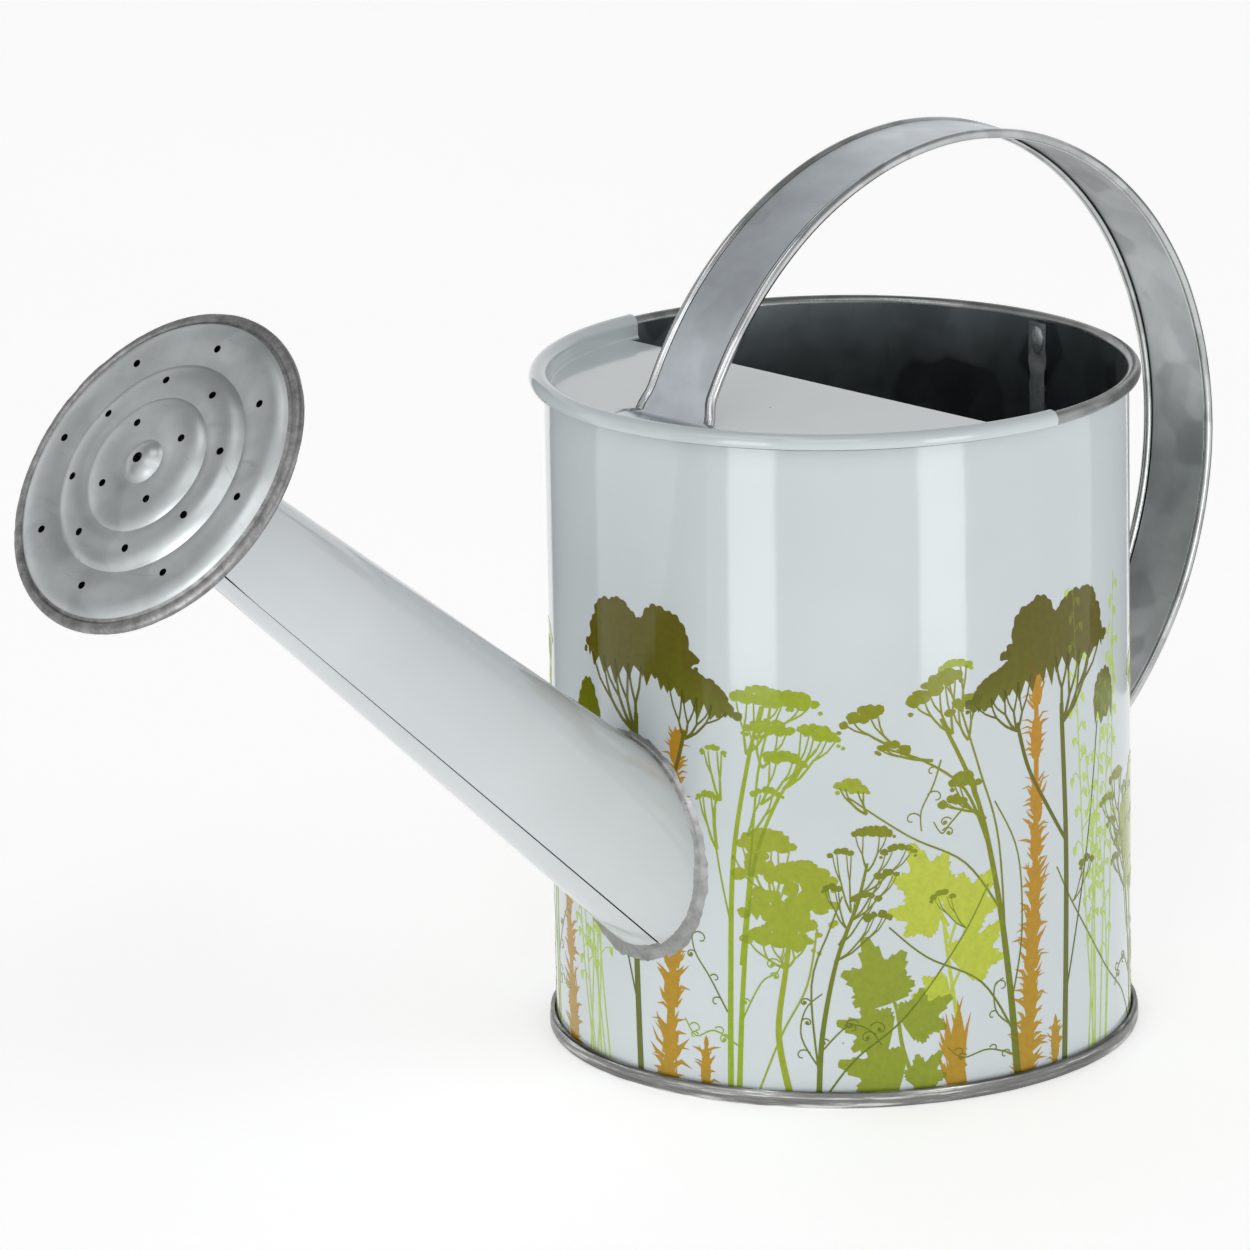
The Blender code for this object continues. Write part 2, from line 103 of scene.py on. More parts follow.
# How far behind the rose's face the funnel's neck and the socket begin and end
NECK_BACK = 0.0140
NECK_END_BACK = 0.0172
SOCKET_TOP_BACK = 0.0090
SOCKET_END_BACK = 0.0225

# Handle
HOOP_CENTRE_Y = 0.0293
HOOP_CENTRE_Z = 0.1265
HOOP_SHORT = 0.0884
HOOP_LONG = 0.0906
HOOP_LEAN = math.radians(20.7)
STRAP_HALF_WIDTH = 0.0113
FOOT_HALF_WIDTH = strap_high.x
EDGE_ROLL_RADIUS = 0.00118
WEB_RAISE = 0.00035
WEB_SAG = 0.00012
FOOT_BEND_RADIUS = 0.0016
HOOP_END_FLAT = 0.25
CREASE_WIDTH = 0.00028
LID_FOOT_GAP = 0.0005
WALL_FOOT_GAP = 0.0006
FRONT_FOOT_REACH = 0.0660
REAR_FOOT_BOTTOM = 0.0270

ROSE_CENTRE = (rose_low + rose_high) / 2 + ROSE_FACE_SHIFT * SPOUT_AXIS
SPOUT_ROOT = ROSE_CENTRE - ROSE_REACH * SPOUT_AXIS - Vector((0, AXIS_Y, 0))


# ---------------------------------------------------------------------------- node materials


class Look:
    """A material whose Principled shader is fed by procedural nodes."""

    def __init__(self, name, roughness, metallic=0.0, specular=0.5):
        self.material = bpy.data.materials.new(name)
        self.material.use_nodes = True
        self.nodes = self.material.node_tree.nodes
        self.links = self.material.node_tree.links
        self.shader = self.nodes["Principled BSDF"]
        self.set(self.shader, "Roughness", roughness)
        self.set(self.shader, "Metallic", metallic)
        self.set(self.shader, "Specular IOR Level", specular)
        self.place = self.nodes.new("ShaderNodeTexCoord").outputs["Object"]

    def set(self, node, socket, value):
        node.inputs[socket].default_value = value

    def join(self, output, node, socket):
        self.links.new(output, node.inputs[socket])

    def stretched(self, scale):
        """Object coordinates stretched by scale = (x, y, z)."""
        mapping = self.nodes.new("ShaderNodeMapping")
        self.join(self.place, mapping, "Vector")
        self.set(mapping, "Scale", scale)
        return mapping.outputs["Vector"]

    def noise(self, scale, detail=3.0, roughness=0.5, place=None):
        made = self.nodes.new("ShaderNodeTexNoise")
        self.join(place or self.place, made, "Vector")
        self.set(made, "Scale", scale)
        self.set(made, "Detail", detail)
        self.set(made, "Roughness", roughness)
        return made.outputs["Fac"]

    def cells(self, scale, feature="F1", output="Distance", place=None, smooth=0.0):
        made = self.nodes.new("ShaderNodeTexVoronoi")
        made.feature = feature
        if feature == "SMOOTH_F1":
            self.set(made, "Smoothness", smooth)
        self.join(place or self.place, made, "Vector")
        self.set(made, "Scale", scale)
        return made.outputs[output]

    def height(self, low, high):
        """From 0 at the height low to 1 at the height high."""
        parts = self.nodes.new("ShaderNodeSeparateXYZ")
        self.join(self.place, parts, "Vector")
        made = self.nodes.new("ShaderNodeMapRange")
        self.join(parts.outputs["Z"], made, "Value")
        self.set(made, "From Min", low)
        self.set(made, "From Max", high)
        return made.outputs["Result"]

    def ramp(self, value, stops):
        """A colour ramp from (position, grey or colour) stops."""
        made = self.nodes.new("ShaderNodeValToRGB")
        self.join(value, made, "Fac")
        elements = made.color_ramp.elements
        while len(elements) < len(stops):
            elements.new(0.5)
        for element, (position, colour) in zip(elements, stops):
            colour = (colour,) * 3 if isinstance(colour, float) else colour
            element.position = position
            element.color = (*colour, 1.0)
        return made.outputs["Color"]

    def mix(self, factor, first, second, blend="MIX"):
        """Mixes two colours, each an output or a plain colour."""
        made = self.nodes.new("ShaderNodeMix")
        made.data_type = "RGBA"
        made.blend_type = blend
        if isinstance(factor, float):
            made.inputs[0].default_value = factor
        else:
            self.links.new(factor, made.inputs[0])
        for socket, colour in ((6, first), (7, second)):
            if isinstance(colour, tuple):
                made.inputs[socket].default_value = (*colour, 1.0)
            else:
                self.links.new(colour, made.inputs[socket])
        return made.outputs[2]

    def colour(self, output):
        self.join(output, self.shader, "Base Color")

    def roughness(self, value, low, high):
        """Roughness from low to high as value goes from 0 to 1."""
        made = self.nodes.new("ShaderNodeMapRange")
        self.join(value, made, "Value")
        self.set(made, "To Min", low)
        self.set(made, "To Max", high)
        self.join(made.outputs["Result"], self.shader, "Roughness")

    def bump(self, height, strength, distance):
        made = self.nodes.new("ShaderNodeBump")
        self.join(height, made, "Height")
        self.set(made, "Strength", strength)
        self.set(made, "Distance", distance)
        self.join(made.outputs["Normal"], self.shader, "Normal")


def enamel_look(name, tint):
    """Stoved white enamel: a faint tone drift, dust nibs and pinholes, and a slight orange peel."""
    look = Look(name, 0.1, specular=0.6)
    drift = look.ramp(look.noise(22.0, 2.0), [(0.3, tuple(0.94 * c for c in tint)), (0.7, tint)])
    specks = look.ramp(look.cells(105.0), [(0.022, 1.0), (0.05, 0.0)])
    kept = look.ramp(look.noise(60.0, 1.0), [(0.56, 0.0), (0.62, 1.0)])
    sparse = look.mix(1.0, specks, kept, "MULTIPLY")
    look.colour(look.mix(sparse, drift, (0.20, 0.19, 0.17)))
    look.roughness(look.noise(35.0, 4.0), 0.05, 0.13)
    look.bump(look.noise(240.0, 2.0), 0.05, 0.0003)
    return look.material


def galvanised_look(name, tone, contrast, cell_scale, rough, scratch=0.35, shade_heights=None):
    """Hot-dip zinc: soft-edged spangle, cloudy patches and fine scratches.
    A (low, high) pair of heights, given last, darkens it from the one height to the other: painted shade,
    where the handle's inner face reflects less light towards its top."""
    look = Look(name, rough, metallic=1.0)
    spangle = look.cells(cell_scale, "SMOOTH_F1", "Color", smooth=0.35)
    grey = look.nodes.new("ShaderNodeRGBToBW")
    look.join(spangle, grey, "Color")
    dark = tuple(c * (1.0 - contrast) for c in tone)
    light = tuple(min(c * (1.0 + 0.5 * contrast), 1.0) for c in tone)
    base = look.ramp(grey.outputs["Val"], [(0.25, dark), (0.5, tone), (0.8, light)])
    cloud = look.ramp(look.noise(45.0, 5.0, 0.6), [(0.3, 0.80), (0.7, 1.08)])
    base = look.mix(1.0, base, cloud, "MULTIPLY")
    lines = look.noise(60.0, 6.0, 0.75, look.stretched((1.0, 9.0, 0.5)))
    marks = look.ramp(lines, [(0.60, 0.0), (0.68, 1.0)])
    faint = look.mix(scratch, (0.0, 0.0, 0.0), marks)
    base = look.mix(faint, base, tuple(c * 0.72 for c in tone))
    # Painted shade, darker from the lower height to the higher
    if shade_heights:
        height_shade = look.ramp(look.height(*shade_heights), [(0.0, 1.0), (0.65, 0.74), (1.0, 0.44)])
        base = look.mix(1.0, base, height_shade, "MULTIPLY")
    look.colour(base)
    look.roughness(look.noise(80.0, 5.0, 0.65), rough - 0.10, rough + 0.14)
    look.bump(look.mix(0.5, look.noise(170.0, 4.0), grey.outputs["Val"]), 0.12, 0.0003)
    return look.material


def solder_look(name, dull, bright):
    """Dull grey solder: matt patches, flux specks and a lumpy skin."""
    look = Look(name, 0.42, metallic=0.85)
    tone = look.ramp(look.noise(240.0, 5.0, 0.6), [(0.35, dull), (0.65, bright)])
    flux = look.ramp(look.noise(900.0, 2.0), [(0.66, 0.0), (0.72, 0.5)])
    look.colour(look.mix(flux, tone, (0.10, 0.10, 0.10)))
    look.roughness(look.noise(400.0, 3.0), 0.34, 0.55)
    look.bump(look.noise(300.0, 3.0, 0.5), 0.25, 0.0004)
    return look.material


def shaded_look(name):
    """The unlit inside of a hole or a fold."""
    look = Look(name, 0.8, specular=0.0)
    look.colour(look.ramp(look.noise(300.0), [(0.3, 0.004), (0.7, 0.009)]))
    look.roughness(look.noise(200.0), 0.7, 0.9)
    return look.material


def crimp_look(name):
    """The rose's folded edge: matt, mottled zinc with fine pits."""
    look = Look(name, 0.5, metallic=1.0)
    mottle = look.ramp(look.noise(320.0, 5.0, 0.7), [(0.35, 0.17), (0.65, 0.33)])
    look.colour(mottle)
    look.roughness(look.noise(500.0, 3.0), 0.40, 0.60)
    look.bump(look.noise(420.0, 4.0, 0.6), 0.35, 0.0003)
    return look.material


def seam_look(name):
    """The rolled bottom seam: dull streaks along the roll, and bright ones that are painted highlight."""
    look = Look(name, 0.35, metallic=1.0)
    streaks = look.noise(38.0, 6.0, 0.7, look.stretched((1.0, 1.0, 26.0)))
    # The brightest stop is painted highlight along the roll's ridge
    stops = [(0.34, (0.13, 0.13, 0.127)), (0.52, (0.24, 0.24, 0.235)), (0.62, (0.68, 0.68, 0.66))]
    look.colour(look.ramp(streaks, stops))
    look.roughness(look.noise(120.0, 5.0, 0.7), 0.24, 0.50)
    look.bump(streaks, 0.25, 0.0003)
    return look.material


def sealant_look(name):
    """Dull grey sealing compound."""
    look = Look(name, 0.6)
    look.colour(look.ramp(look.noise(300.0, 3.0), [(0.35, 0.07), (0.65, 0.13)]))
    look.bump(look.noise(500.0, 3.0), 0.4, 0.0004)
    return look.material


def ink_look(name):
    """Printed inks under the same gloss as the enamel; each face corner holds its ink's colour."""
    look = Look(name, 0.1, specular=0.35)
    ink = look.nodes.new("ShaderNodeAttribute")
    ink.attribute_name = "ink"
    grain = look.ramp(look.noise(700.0, 3.0), [(0.35, 0.93), (0.65, 1.05)])
    look.colour(look.mix(1.0, ink.outputs["Color"], grain, "MULTIPLY"))
    look.roughness(look.noise(35.0, 4.0), 0.07, 0.16)
    look.bump(look.noise(240.0, 2.0), 0.05, 0.0003)
    return look.material


# ---------------------------------------------------------------------------- mesh helpers


def arc(centre, radius, start, end, steps):
    """Points on an arc, angles in degrees."""
    points = []
    for i in range(steps + 1):
        angle = math.radians(start + (end - start) * i / steps)
        points.append((centre[0] + radius * math.cos(angle), centre[1] + radius * math.sin(angle)))
    return points


def smooth_outline(points, steps):
    """A Catmull-Rom curve through points, with its ends kept."""
    padded = [points[0], *points, points[-1]]
    curve = []
    for a, b, c, d in zip(padded, padded[1:], padded[2:], padded[3:]):
        for i in range(steps):
            t = i / steps
            spot = []
            for p, q, r, s in zip(a, b, c, d):
                cubic = (2 * p - 5 * q + 4 * r - s) * t * t + (3 * q - p - 3 * r + s) * t**3
                spot.append(0.5 * (2 * q + (r - p) * t + cubic))
            curve.append(tuple(spot))
    return curve + [points[-1]]


def polar(radius, degrees, height):
    """The point at a radius and a height, turned through an angle about the Z axis."""
    turn = math.radians(degrees)
    return radius * math.cos(turn), radius * math.sin(turn), height


def spread(start, end, count):
    """count + 1 even steps from start to end."""
    return [start + (end - start) * i / count for i in range(count + 1)]


def smoothstep(low, high, value):
    """From 0 at low to 1 at high, smoothly."""
    t = min(max((value - low) / (high - low), 0.0), 1.0)
    return t * t * (3 - 2 * t)


def turned(outline, angles, whole=True, looks=None):
    """A closed outline of (radius, height) points turned through angles in degrees.
    looks gives the material index of each outline edge."""
    shape = bmesh.new()
    on_axis = {}
    rings = []
    for angle in angles:
        ring = []
        for k, (radius, height) in enumerate(outline):
            if radius <= 0.0:
                if k not in on_axis:
                    on_axis[k] = shape.verts.new((0.0, 0.0, height))
                ring.append(on_axis[k])
                continue
            ring.append(shape.verts.new(polar(radius, angle, height)))
        rings.append(ring)
    pairs = list(zip(rings, rings[1:]))
    if whole:
        pairs.append((rings[-1], rings[0]))
    for near, far in pairs:
        for k in range(len(outline)):
            n = (k + 1) % len(outline)
            corners = list(dict.fromkeys((near[k], far[k], far[n], near[n])))
            if len(corners) > 2:
                face = shape.faces.new(corners)
                face.material_index = looks[k] if looks else 0
    if not whole:
        shape.faces.new(rings[0])
        shape.faces.new(rings[-1])
    return shape


def around(count, start=0.0):
    """count angles round a full circle."""
    return [start + 360.0 * i / count for i in range(count)]


def lofted(rings, closed_ends=True):
    """A closed skin over rings of equal length."""
    shape = bmesh.new()
    made = [[shape.verts.new(point) for point in ring] for ring in rings]
    for near, far in zip(made, made[1:]):
        for k in range(len(near)):
            n = (k + 1) % len(near)
            shape.faces.new((near[k], far[k], far[n], near[n]))
    if closed_ends:
        shape.faces.new(made[0])
        shape.faces.new(made[-1])
    else:
        for k in range(len(made[0])):
            n = (k + 1) % len(made[0])
            shape.faces.new((made[-1][k], made[0][k], made[0][n], made[-1][n]))
    return shape


def shown(name, shape, looks):
    """An object in the scene from a bmesh as it is, which is used up."""
    mesh = bpy.data.meshes.new(name)
    shape.to_mesh(mesh)
    shape.free()
    for look in looks:
        mesh.materials.append(look)
    made = bpy.data.objects.new(name, mesh)
    bpy.context.scene.collection.objects.link(made)
    return made


def piece(name, shape, looks, matrix, sharp=CORNER_ANGLE):
    """A smooth object from a bmesh, placed by matrix, its faces turned outwards."""
    shape.transform(matrix)
    bmesh.ops.recalc_face_normals(shape, faces=shape.faces)
    made = shown(name, shape, looks)
    made.data.shade_smooth()
    made.data.set_sharp_from_angle(angle=math.radians(sharp))
    return made


def cut(target, shape, matrix, look_index=0):
    """Cuts a closed bmesh out of target and applies the result to its mesh.
    The cut's own faces take the target's material of look_index."""
    for face in shape.faces:
        face.material_index = look_index
    cutter = piece("cutter", shape, list(target.data.materials), matrix)
    step = target.modifiers.new("cut", "BOOLEAN")
    step.operation = "DIFFERENCE"
    step.object = cutter
    bpy.context.view_layer.update()
    evaluated = target.evaluated_get(bpy.context.evaluated_depsgraph_get())
    mesh = bpy.data.meshes.new_from_object(evaluated)
    mesh.set_sharp_from_angle(angle=math.radians(CORNER_ANGLE))
    target.modifiers.clear()
    target.data = mesh
    bpy.data.objects.remove(cutter, do_unlink=True)


def place(made, body, slot, *nodes):
    """Hangs a piece on the body that it rides on and hides the frame nodes that it stands for. slot, the
    finish that it takes, is not used.
    """
    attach(made, body)
    if nodes:
        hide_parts(*nodes)


def draw_in(vertex, distance):
    """Moves a vertex towards the Z axis."""
    radius = math.hypot(vertex.co.x, vertex.co.y)
    vertex.co.x = vertex.co.x * (radius - distance) / radius
    vertex.co.y = vertex.co.y * (radius - distance) / radius


def rough_shift(point, scale, size):
    """A smooth random number from -size to size at a point."""
    return size * noise.noise(Vector(point) * scale)


CAN = Matrix.Translation((0, AXIS_Y, 0))


def spout_turn():
    """The turn that brings the Z axis onto the spout's."""
    side = Vector((1, 0, 0))
    up = SPOUT_AXIS.cross(side)
    return Matrix((side, up, SPOUT_AXIS)).transposed().to_4x4()


ROSE = Matrix.Translation(ROSE_CENTRE) @ spout_turn()
SPOUT = Matrix.Translation(SPOUT_ROOT) @ spout_turn()


# ---------------------------------------------------------------------------- the can


def bead_centre():
    """The (radius, height) of the middle of the rim's bead."""
    return WALL_RADIUS - SHEET + BEAD_RADIUS, RIM_HEIGHT - BEAD_RADIUS


def lap_in(degrees):
    """How far the wall's outer face is sunk at an angle: past the lap's edge the sheet dives
    under its other end by its own thickness, and comes back out over LAP_BLEND_ANGLE."""
    past = (degrees - 90.0 - LAP_HALF_ANGLE) % 360.0
    if past > LAP_BLEND_ANGLE:
        return 0.0
    return SHEET * (1.0 - smoothstep(0.0, LAP_BLEND_ANGLE, past))


def inner_lap_in(degrees):
    """The same for the inner face: the dived sheet lies inside the other over the lap's width."""
    past = (degrees - 90.0 + LAP_HALF_ANGLE) % 360.0
    if past < 2 * LAP_HALF_ANGLE:
        return SHEET
    return lap_in(degrees)


def make_wall(enamel, inside, rim):
    """The wall, curled outwards at the top so that its bare inner face shows round the bead."""
    centre = bead_centre()
    inner = WALL_RADIUS - SHEET
    heights = spread(WALL_FOOT, centre[1], 12)
    outline = [(inner, z) for z in heights[:-1]]
    outline += arc(centre, BEAD_RADIUS, 180, BEAD_CURL_END, 22)
    bare = len(outline)
    straight = len(heights) - 1
    outline += arc(centre, BEAD_RADIUS - SHEET, BEAD_CURL_END, 180, 18)
    outline += [(WALL_RADIUS, z) for z in reversed(heights[:-1])]
    # Look 1, the wall's inner face, takes a dark zinc: painted shade for the unlit inside
    looks = [1] * straight + [2] * (bare - 1 - straight) + [0] * (len(outline) - bare + 1)
    edge = 0.02
    turns = around(FINE)
    for lap_edge in (90 - LAP_HALF_ANGLE, 90 + LAP_HALF_ANGLE):
        turns += [lap_edge - edge, lap_edge + edge]
    shape = turned(outline, sorted(turns), looks=looks)
    flat_top = centre[1] - BEAD_RADIUS
    for vertex in shape.verts:
        x, y, z = vertex.co
        radius = math.hypot(x, y)
        degrees = math.degrees(math.atan2(y, x))
        sunk = inner_lap_in(degrees) if radius < WALL_RADIUS - SHEET / 2 else lap_in(degrees)
        draw_in(vertex, sunk * (1.0 - smoothstep(flat_top - 0.004, flat_top, z)))
    wall = piece("wall_sheet", shape, [enamel, inside, rim], CAN)
    reach = 0.03
    hole = [(0.0, -reach), (WATER_HOLE_RADIUS, -reach), (WATER_HOLE_RADIUS, reach), (0.0, reach)]
    cut(wall, turned(hole, around(64, 1.4)), CAN @ SPOUT)
    place(wall, "can", "printed_enamel", "body_wall")


def make_bottom(seam, plate):
    """The bottom plate and its double seam."""
    face = 0.0692
    recess = 0.0026
    rise = 0.0010
    panel = 0.0520
    step = 0.0012
    fold = WALL_RADIUS + 0.00035
    top = recess + SHEET
    middle = SEAM_HEIGHT / 2
    bulge = [(SEAM_RADIUS - 0.0006, 0.0), (SEAM_RADIUS - 0.00015, 0.0003)]
    bulge += [(SEAM_RADIUS - 0.00002, 0.0009), (SEAM_RADIUS, middle)]
    bulge += [(SEAM_RADIUS - 0.00004, SEAM_HEIGHT - 0.0009), (SEAM_RADIUS - 0.0002, SEAM_HEIGHT - 0.0003)]
    bulge += [(SEAM_RADIUS - 0.0007, SEAM_HEIGHT)]
    outline = [(0.0, recess + rise), (panel, recess + rise), (panel + step, recess), (0.0660, recess)]
    outline += [(face - SHEET, recess - 0.0008), (face - SHEET, 0.0006), (face, 0.0)]
    first_seam = len(outline)
    outline += smooth_outline(bulge, 3)
    last_seam = len(outline)
    outline += [(fold + 0.0003, SEAM_HEIGHT), (fold, SEAM_HEIGHT - 0.0003), (fold, 0.0005)]
    outline += [(face, 0.0005), (face, top), (panel + step, top), (panel, top + rise), (0.0, top + rise)]
    # Faces off the seam take look 1, the dark inside zinc: painted shade
    looks = [0 if first_seam - 3 <= k <= last_seam + 2 else 1 for k in range(len(outline))]
    shape = turned(outline, around(FINE), looks=looks)
    for vertex in shape.verts:
        x, y, z = vertex.co
        if math.hypot(x, y) > SEAM_RADIUS - 0.0012:
            draw_in(vertex, abs(rough_shift((x, y, z * 0.2), 90.0, 0.00022)))
    made = piece("bottom_plate", shape, [seam, plate], CAN)
    place(made, "can", "galvanised_steel", "base_plate")


def make_lid(enamel):
    """The half-lid: a sunk panel, a wall beside the can's and a lip wrapped over the rim."""
    centre = bead_centre()
    inner = BEAD_RADIUS + LIP_GAP
    outer = inner + LID_SHEET
    wall_outer = centre[0] - inner
    wall_inner = centre[0] - outer
    low = LID_PANEL_TOP - LID_SHEET
    corner = 0.0009
    radii = spread(0.0, wall_outer - corner, 10)
    outline = [(r, low) for r in radii]
    outline += arc((wall_outer - corner, low + corner), corner, -90, 0, 6)[1:]
    outline += arc(centre, inner, 180, LIP_END_ANGLE, 20)
    outline += arc(centre, outer, LIP_END_ANGLE, 180, 20)
    inner_corner = corner - LID_SHEET
    outline += arc((wall_inner - inner_corner, LID_PANEL_TOP + inner_corner), inner_corner, 0, -90, 5)
    outline += [(r, LID_PANEL_TOP) for r in reversed(radii[:-1])]
    shape = turned(outline, spread(180.0, 360.0, FINE // 2), whole=False)
    lid = piece("lid_half", shape, [enamel], CAN)
    trim = bmesh.new()
    reach = wall_inner - inner_corner
    bmesh.ops.create_cube(trim, size=1.0)
    bmesh.ops.scale(trim, vec=(2 * reach, 2 * LID_CHORD, 0.01), verts=trim.verts)
    cut(lid, trim, CAN @ Matrix.Translation((0, 0, LID_PANEL_TOP - 0.003)))
    place(lid, "can", "white_enamel", "half_lid")


def make_side_seam(solder):
    """The solder run down the inside of the lap seam, ragged at its edges, with a blob near the top."""
    face = WALL_RADIUS - 2 * SHEET
    low, high = 0.0060, RIM_HEIGHT - BEAD_RADIUS - 0.0006
    rows, columns = 150, 8
    sunk = 0.0003
    rings = []
    for i in range(rows + 1):
        z = low + (high - low) * i / rows
        left = LAP_HALF_ANGLE + rough_shift((3.0, 0.0, z), 260.0, 0.30)
        left += rough_shift((7.0, 0.0, z), 900.0, 0.15)
        right = LAP_HALF_ANGLE + rough_shift((5.0, 0.0, z), 240.0, 0.30)
        proud = 0.00032 + rough_shift((0.0, 4.0, z), 300.0, 0.00010)
        ring = []
        for k in range(columns + 1):
            t = k / columns
            depth = face + 0.0001 - proud * math.sin(math.pi * t) ** 0.4
            ring.append(polar(depth, 90 - right + (left + right) * t, z))
        for degrees in (90 + left, 90 - right):
            ring.append(polar(face + sunk, degrees, z))
        rings.append(ring)
    made = piece("side_seam_run", lofted(rings), [solder], CAN)
    place(made, "can", "solder", "side_seam_solder")
    blob = bmesh.new()
    bmesh.ops.create_icosphere(blob, subdivisions=4, radius=1.0)
    for vertex in blob.verts:
        vertex.co *= 1.0 + 0.16 * noise.noise(vertex.co * 2.3)
    bmesh.ops.scale(blob, vec=SEAM_BLOB_SIZE, verts=blob.verts)
    spot = Matrix.Translation((0.0004, face - sunk, SEAM_BLOB_HEIGHT))
    place(piece("side_seam_blob", blob, [solder], CAN @ spot), "can", "solder")


# ---------------------------------------------------------------------------- the spout


def spout_radius(along):
    """The tube's outer radius at a distance from its root."""
    return SPOUT_ROOT_RADIUS - SPOUT_TAPER * along


def spout_lap(degrees):
    """The tube's lap seam: its outer end stands proud of the other by the sheet's thickness."""
    past = (degrees - SPOUT_LAP_ANGLE) % 360.0
    lap_width = 24.0
    if past < lap_width:
        return SHEET
    if past > 360.0 - SPOUT_GROOVE_ANGLE / 2:
        return -SHEET
    return SHEET * (1.0 - smoothstep(lap_width, lap_width + 26.0, past))


def on_spout(along, degrees, radius):
    """A point beside the spout's axis, in the can's own space."""
    return SPOUT @ Vector(polar(radius, degrees, along))


def meets_wall(degrees, clear, wall):
    """How far along the axis the tube's surface, clear of it by a distance, comes out of the wall."""
    low, high = -0.045, 0.045
    for _ in range(40):
        middle = (low + high) / 2
        point = on_spout(middle, degrees, spout_radius(middle) + clear)
        if math.hypot(point.x, point.y) > wall and point.y < 0:
            high = middle
        else:
            low = middle
    return high


def make_spout(enamel, dark):
    """The tapered tube with its lap seam, cut to the wall at its root."""
    tip = ROSE_REACH - SPOUT_TIP_BACK
    turns = around(128)
    edge = 0.05
    for past in (-SPOUT_GROOVE_ANGLE, -2 * edge, -edge, edge):
        turns.append((SPOUT_LAP_ANGLE + past) % 360.0)
    turns.sort()
    steps = 60
    grid = []
    for degrees in turns:
        lap = spout_lap(degrees)
        line = []
        for clear in (lap, lap - SHEET):
            start = meets_wall(degrees, clear, WALL_RADIUS + 0.0001)
            stops = [start + (tip - start) * (i / steps) for i in range(steps + 1)]
            if clear != lap:
                stops.reverse()
            for along in stops:
                faded = smoothstep(tip - 0.03, tip - 0.014, along)
                radius = spout_radius(along) + clear - lap * faded
                line.append(on_spout(along, degrees, radius))
        grid.append(line)
    shape = bmesh.new()
    lines = [[shape.verts.new(point) for point in line] for line in grid]
    for i, (near, far) in enumerate(zip(lines, lines[1:] + lines[:1])):
        in_groove = (turns[i] - SPOUT_LAP_ANGLE) % 360.0 > 359.5 - SPOUT_GROOVE_ANGLE
        for k in range(len(near)):
            n = (k + 1) % len(near)
            face = shape.faces.new((near[k], far[k], far[n], near[n]))
            # The groove's faces take look 1, the near-black shade: painted shade along the lap
            face.material_index = 1 if in_groove and k < steps else 0
    made = piece("spout_sheet", shape, [enamel, dark], CAN, sharp=30)
    place(made, "can", "white_enamel", "spout_tube")


def make_spout_fillet(solder):
    """The hand-run solder fillet round the spout's root, uneven in width and height."""
    count = 288
    rings = []
    for i in range(count):
        degrees = 360.0 * i / count
        seed = Vector(polar(1.0, degrees, 0.0))
        wide = FILLET_WIDTH + 0.0007 * noise.noise(seed * 3.1) + 0.0005 * noise.noise(seed * 13.0)
        tall = FILLET_HEIGHT + 0.0006 * noise.noise(seed * 4.3 + Vector((5, 0, 0)))
        tall += 0.0004 * noise.noise(seed * 17.0)
        lap = spout_lap(degrees)
        inside = meets_wall(degrees, lap - 0.0003, WALL_RADIUS - 0.0002)
        corner = on_spout(inside, degrees, spout_radius(inside) + lap - 0.0003)
        up_start = meets_wall(degrees, lap, WALL_RADIUS)
        up = on_spout(up_start + tall, degrees, spout_radius(up_start + tall) + lap + 0.00002)
        out_start = meets_wall(degrees, lap + wide, WALL_RADIUS)
        out = on_spout(out_start, degrees, spout_radius(out_start) + lap + wide)
        foot = meets_wall(degrees, lap, WALL_RADIUS)
        root = on_spout(foot, degrees, spout_radius(foot) + lap)
        ring = [corner]
        steps = 7
        for k in range(steps + 1):
            t = k / steps
            straight = up.lerp(out, t)
            bulge = 0.30 + 0.12 * noise.noise(seed * 9.0)
            pull = (root - straight) * math.sin(math.pi * t) * bulge
            lump = 0.00009 * noise.noise(seed * 24.0 + Vector((0, 0, 3 * t)))
            ring.append(straight + pull + (straight - root).normalized() * lump)
        sink = Vector((out.x, out.y, 0)).normalized() * 0.0003
        ring.append(out - sink)
        rings.append(ring)
    made = piece("spout_fillet", lofted(rings, closed_ends=False), [solder], CAN, sharp=60)
    place(made, "can", "solder", "spout_solder")


# ---------------------------------------------------------------------------- the rose


def rose_profile():
    """The pressed face from its middle out to the crimp, as (radius, height)."""
    boss = [(0.0, 7.4), (1.6, 7.3), (3.0, 6.9), (4.1, 6.3), (4.9, 5.7), (5.5, 5.3)]
    first = [(6.3, 5.35), (8.5, 5.7), (11.0, 5.8), (13.0, 5.6), (14.8, 5.1), (16.0, 4.5), (16.8, 3.9)]
    second = [(17.6, 4.0), (19.5, 4.35), (21.5, 4.3), (23.2, 3.95), (24.6, 3.3), (25.6, 2.6), (26.1, 2.2)]
    third = [(27.2, 2.4), (29.5, 2.75), (32.0, 2.8), (34.2, 2.55), (36.0, 1.9), (37.2, 1.15), (37.9, 0.7)]
    points = []
    for zone in (boss, first, second, third):
        points += smooth_outline(zone, 3)
    return [(r * MM, z * MM) for r, z in points]


def rose_holes():
    """Places (x, y, radius) of the drilled holes: one in the middle and three rings."""
    places = [(0.0, 0.0, ROSE_CENTRE_HOLE_RADIUS)]
    for count, ring, first in ((4, 0.0111, 41.5), (8, 0.0214, 19.5), (8, 0.0307, -3.0)):
        places += [polar(ring, angle, ROSE_HOLE_RADIUS) for angle in around(count, first)]
    return places


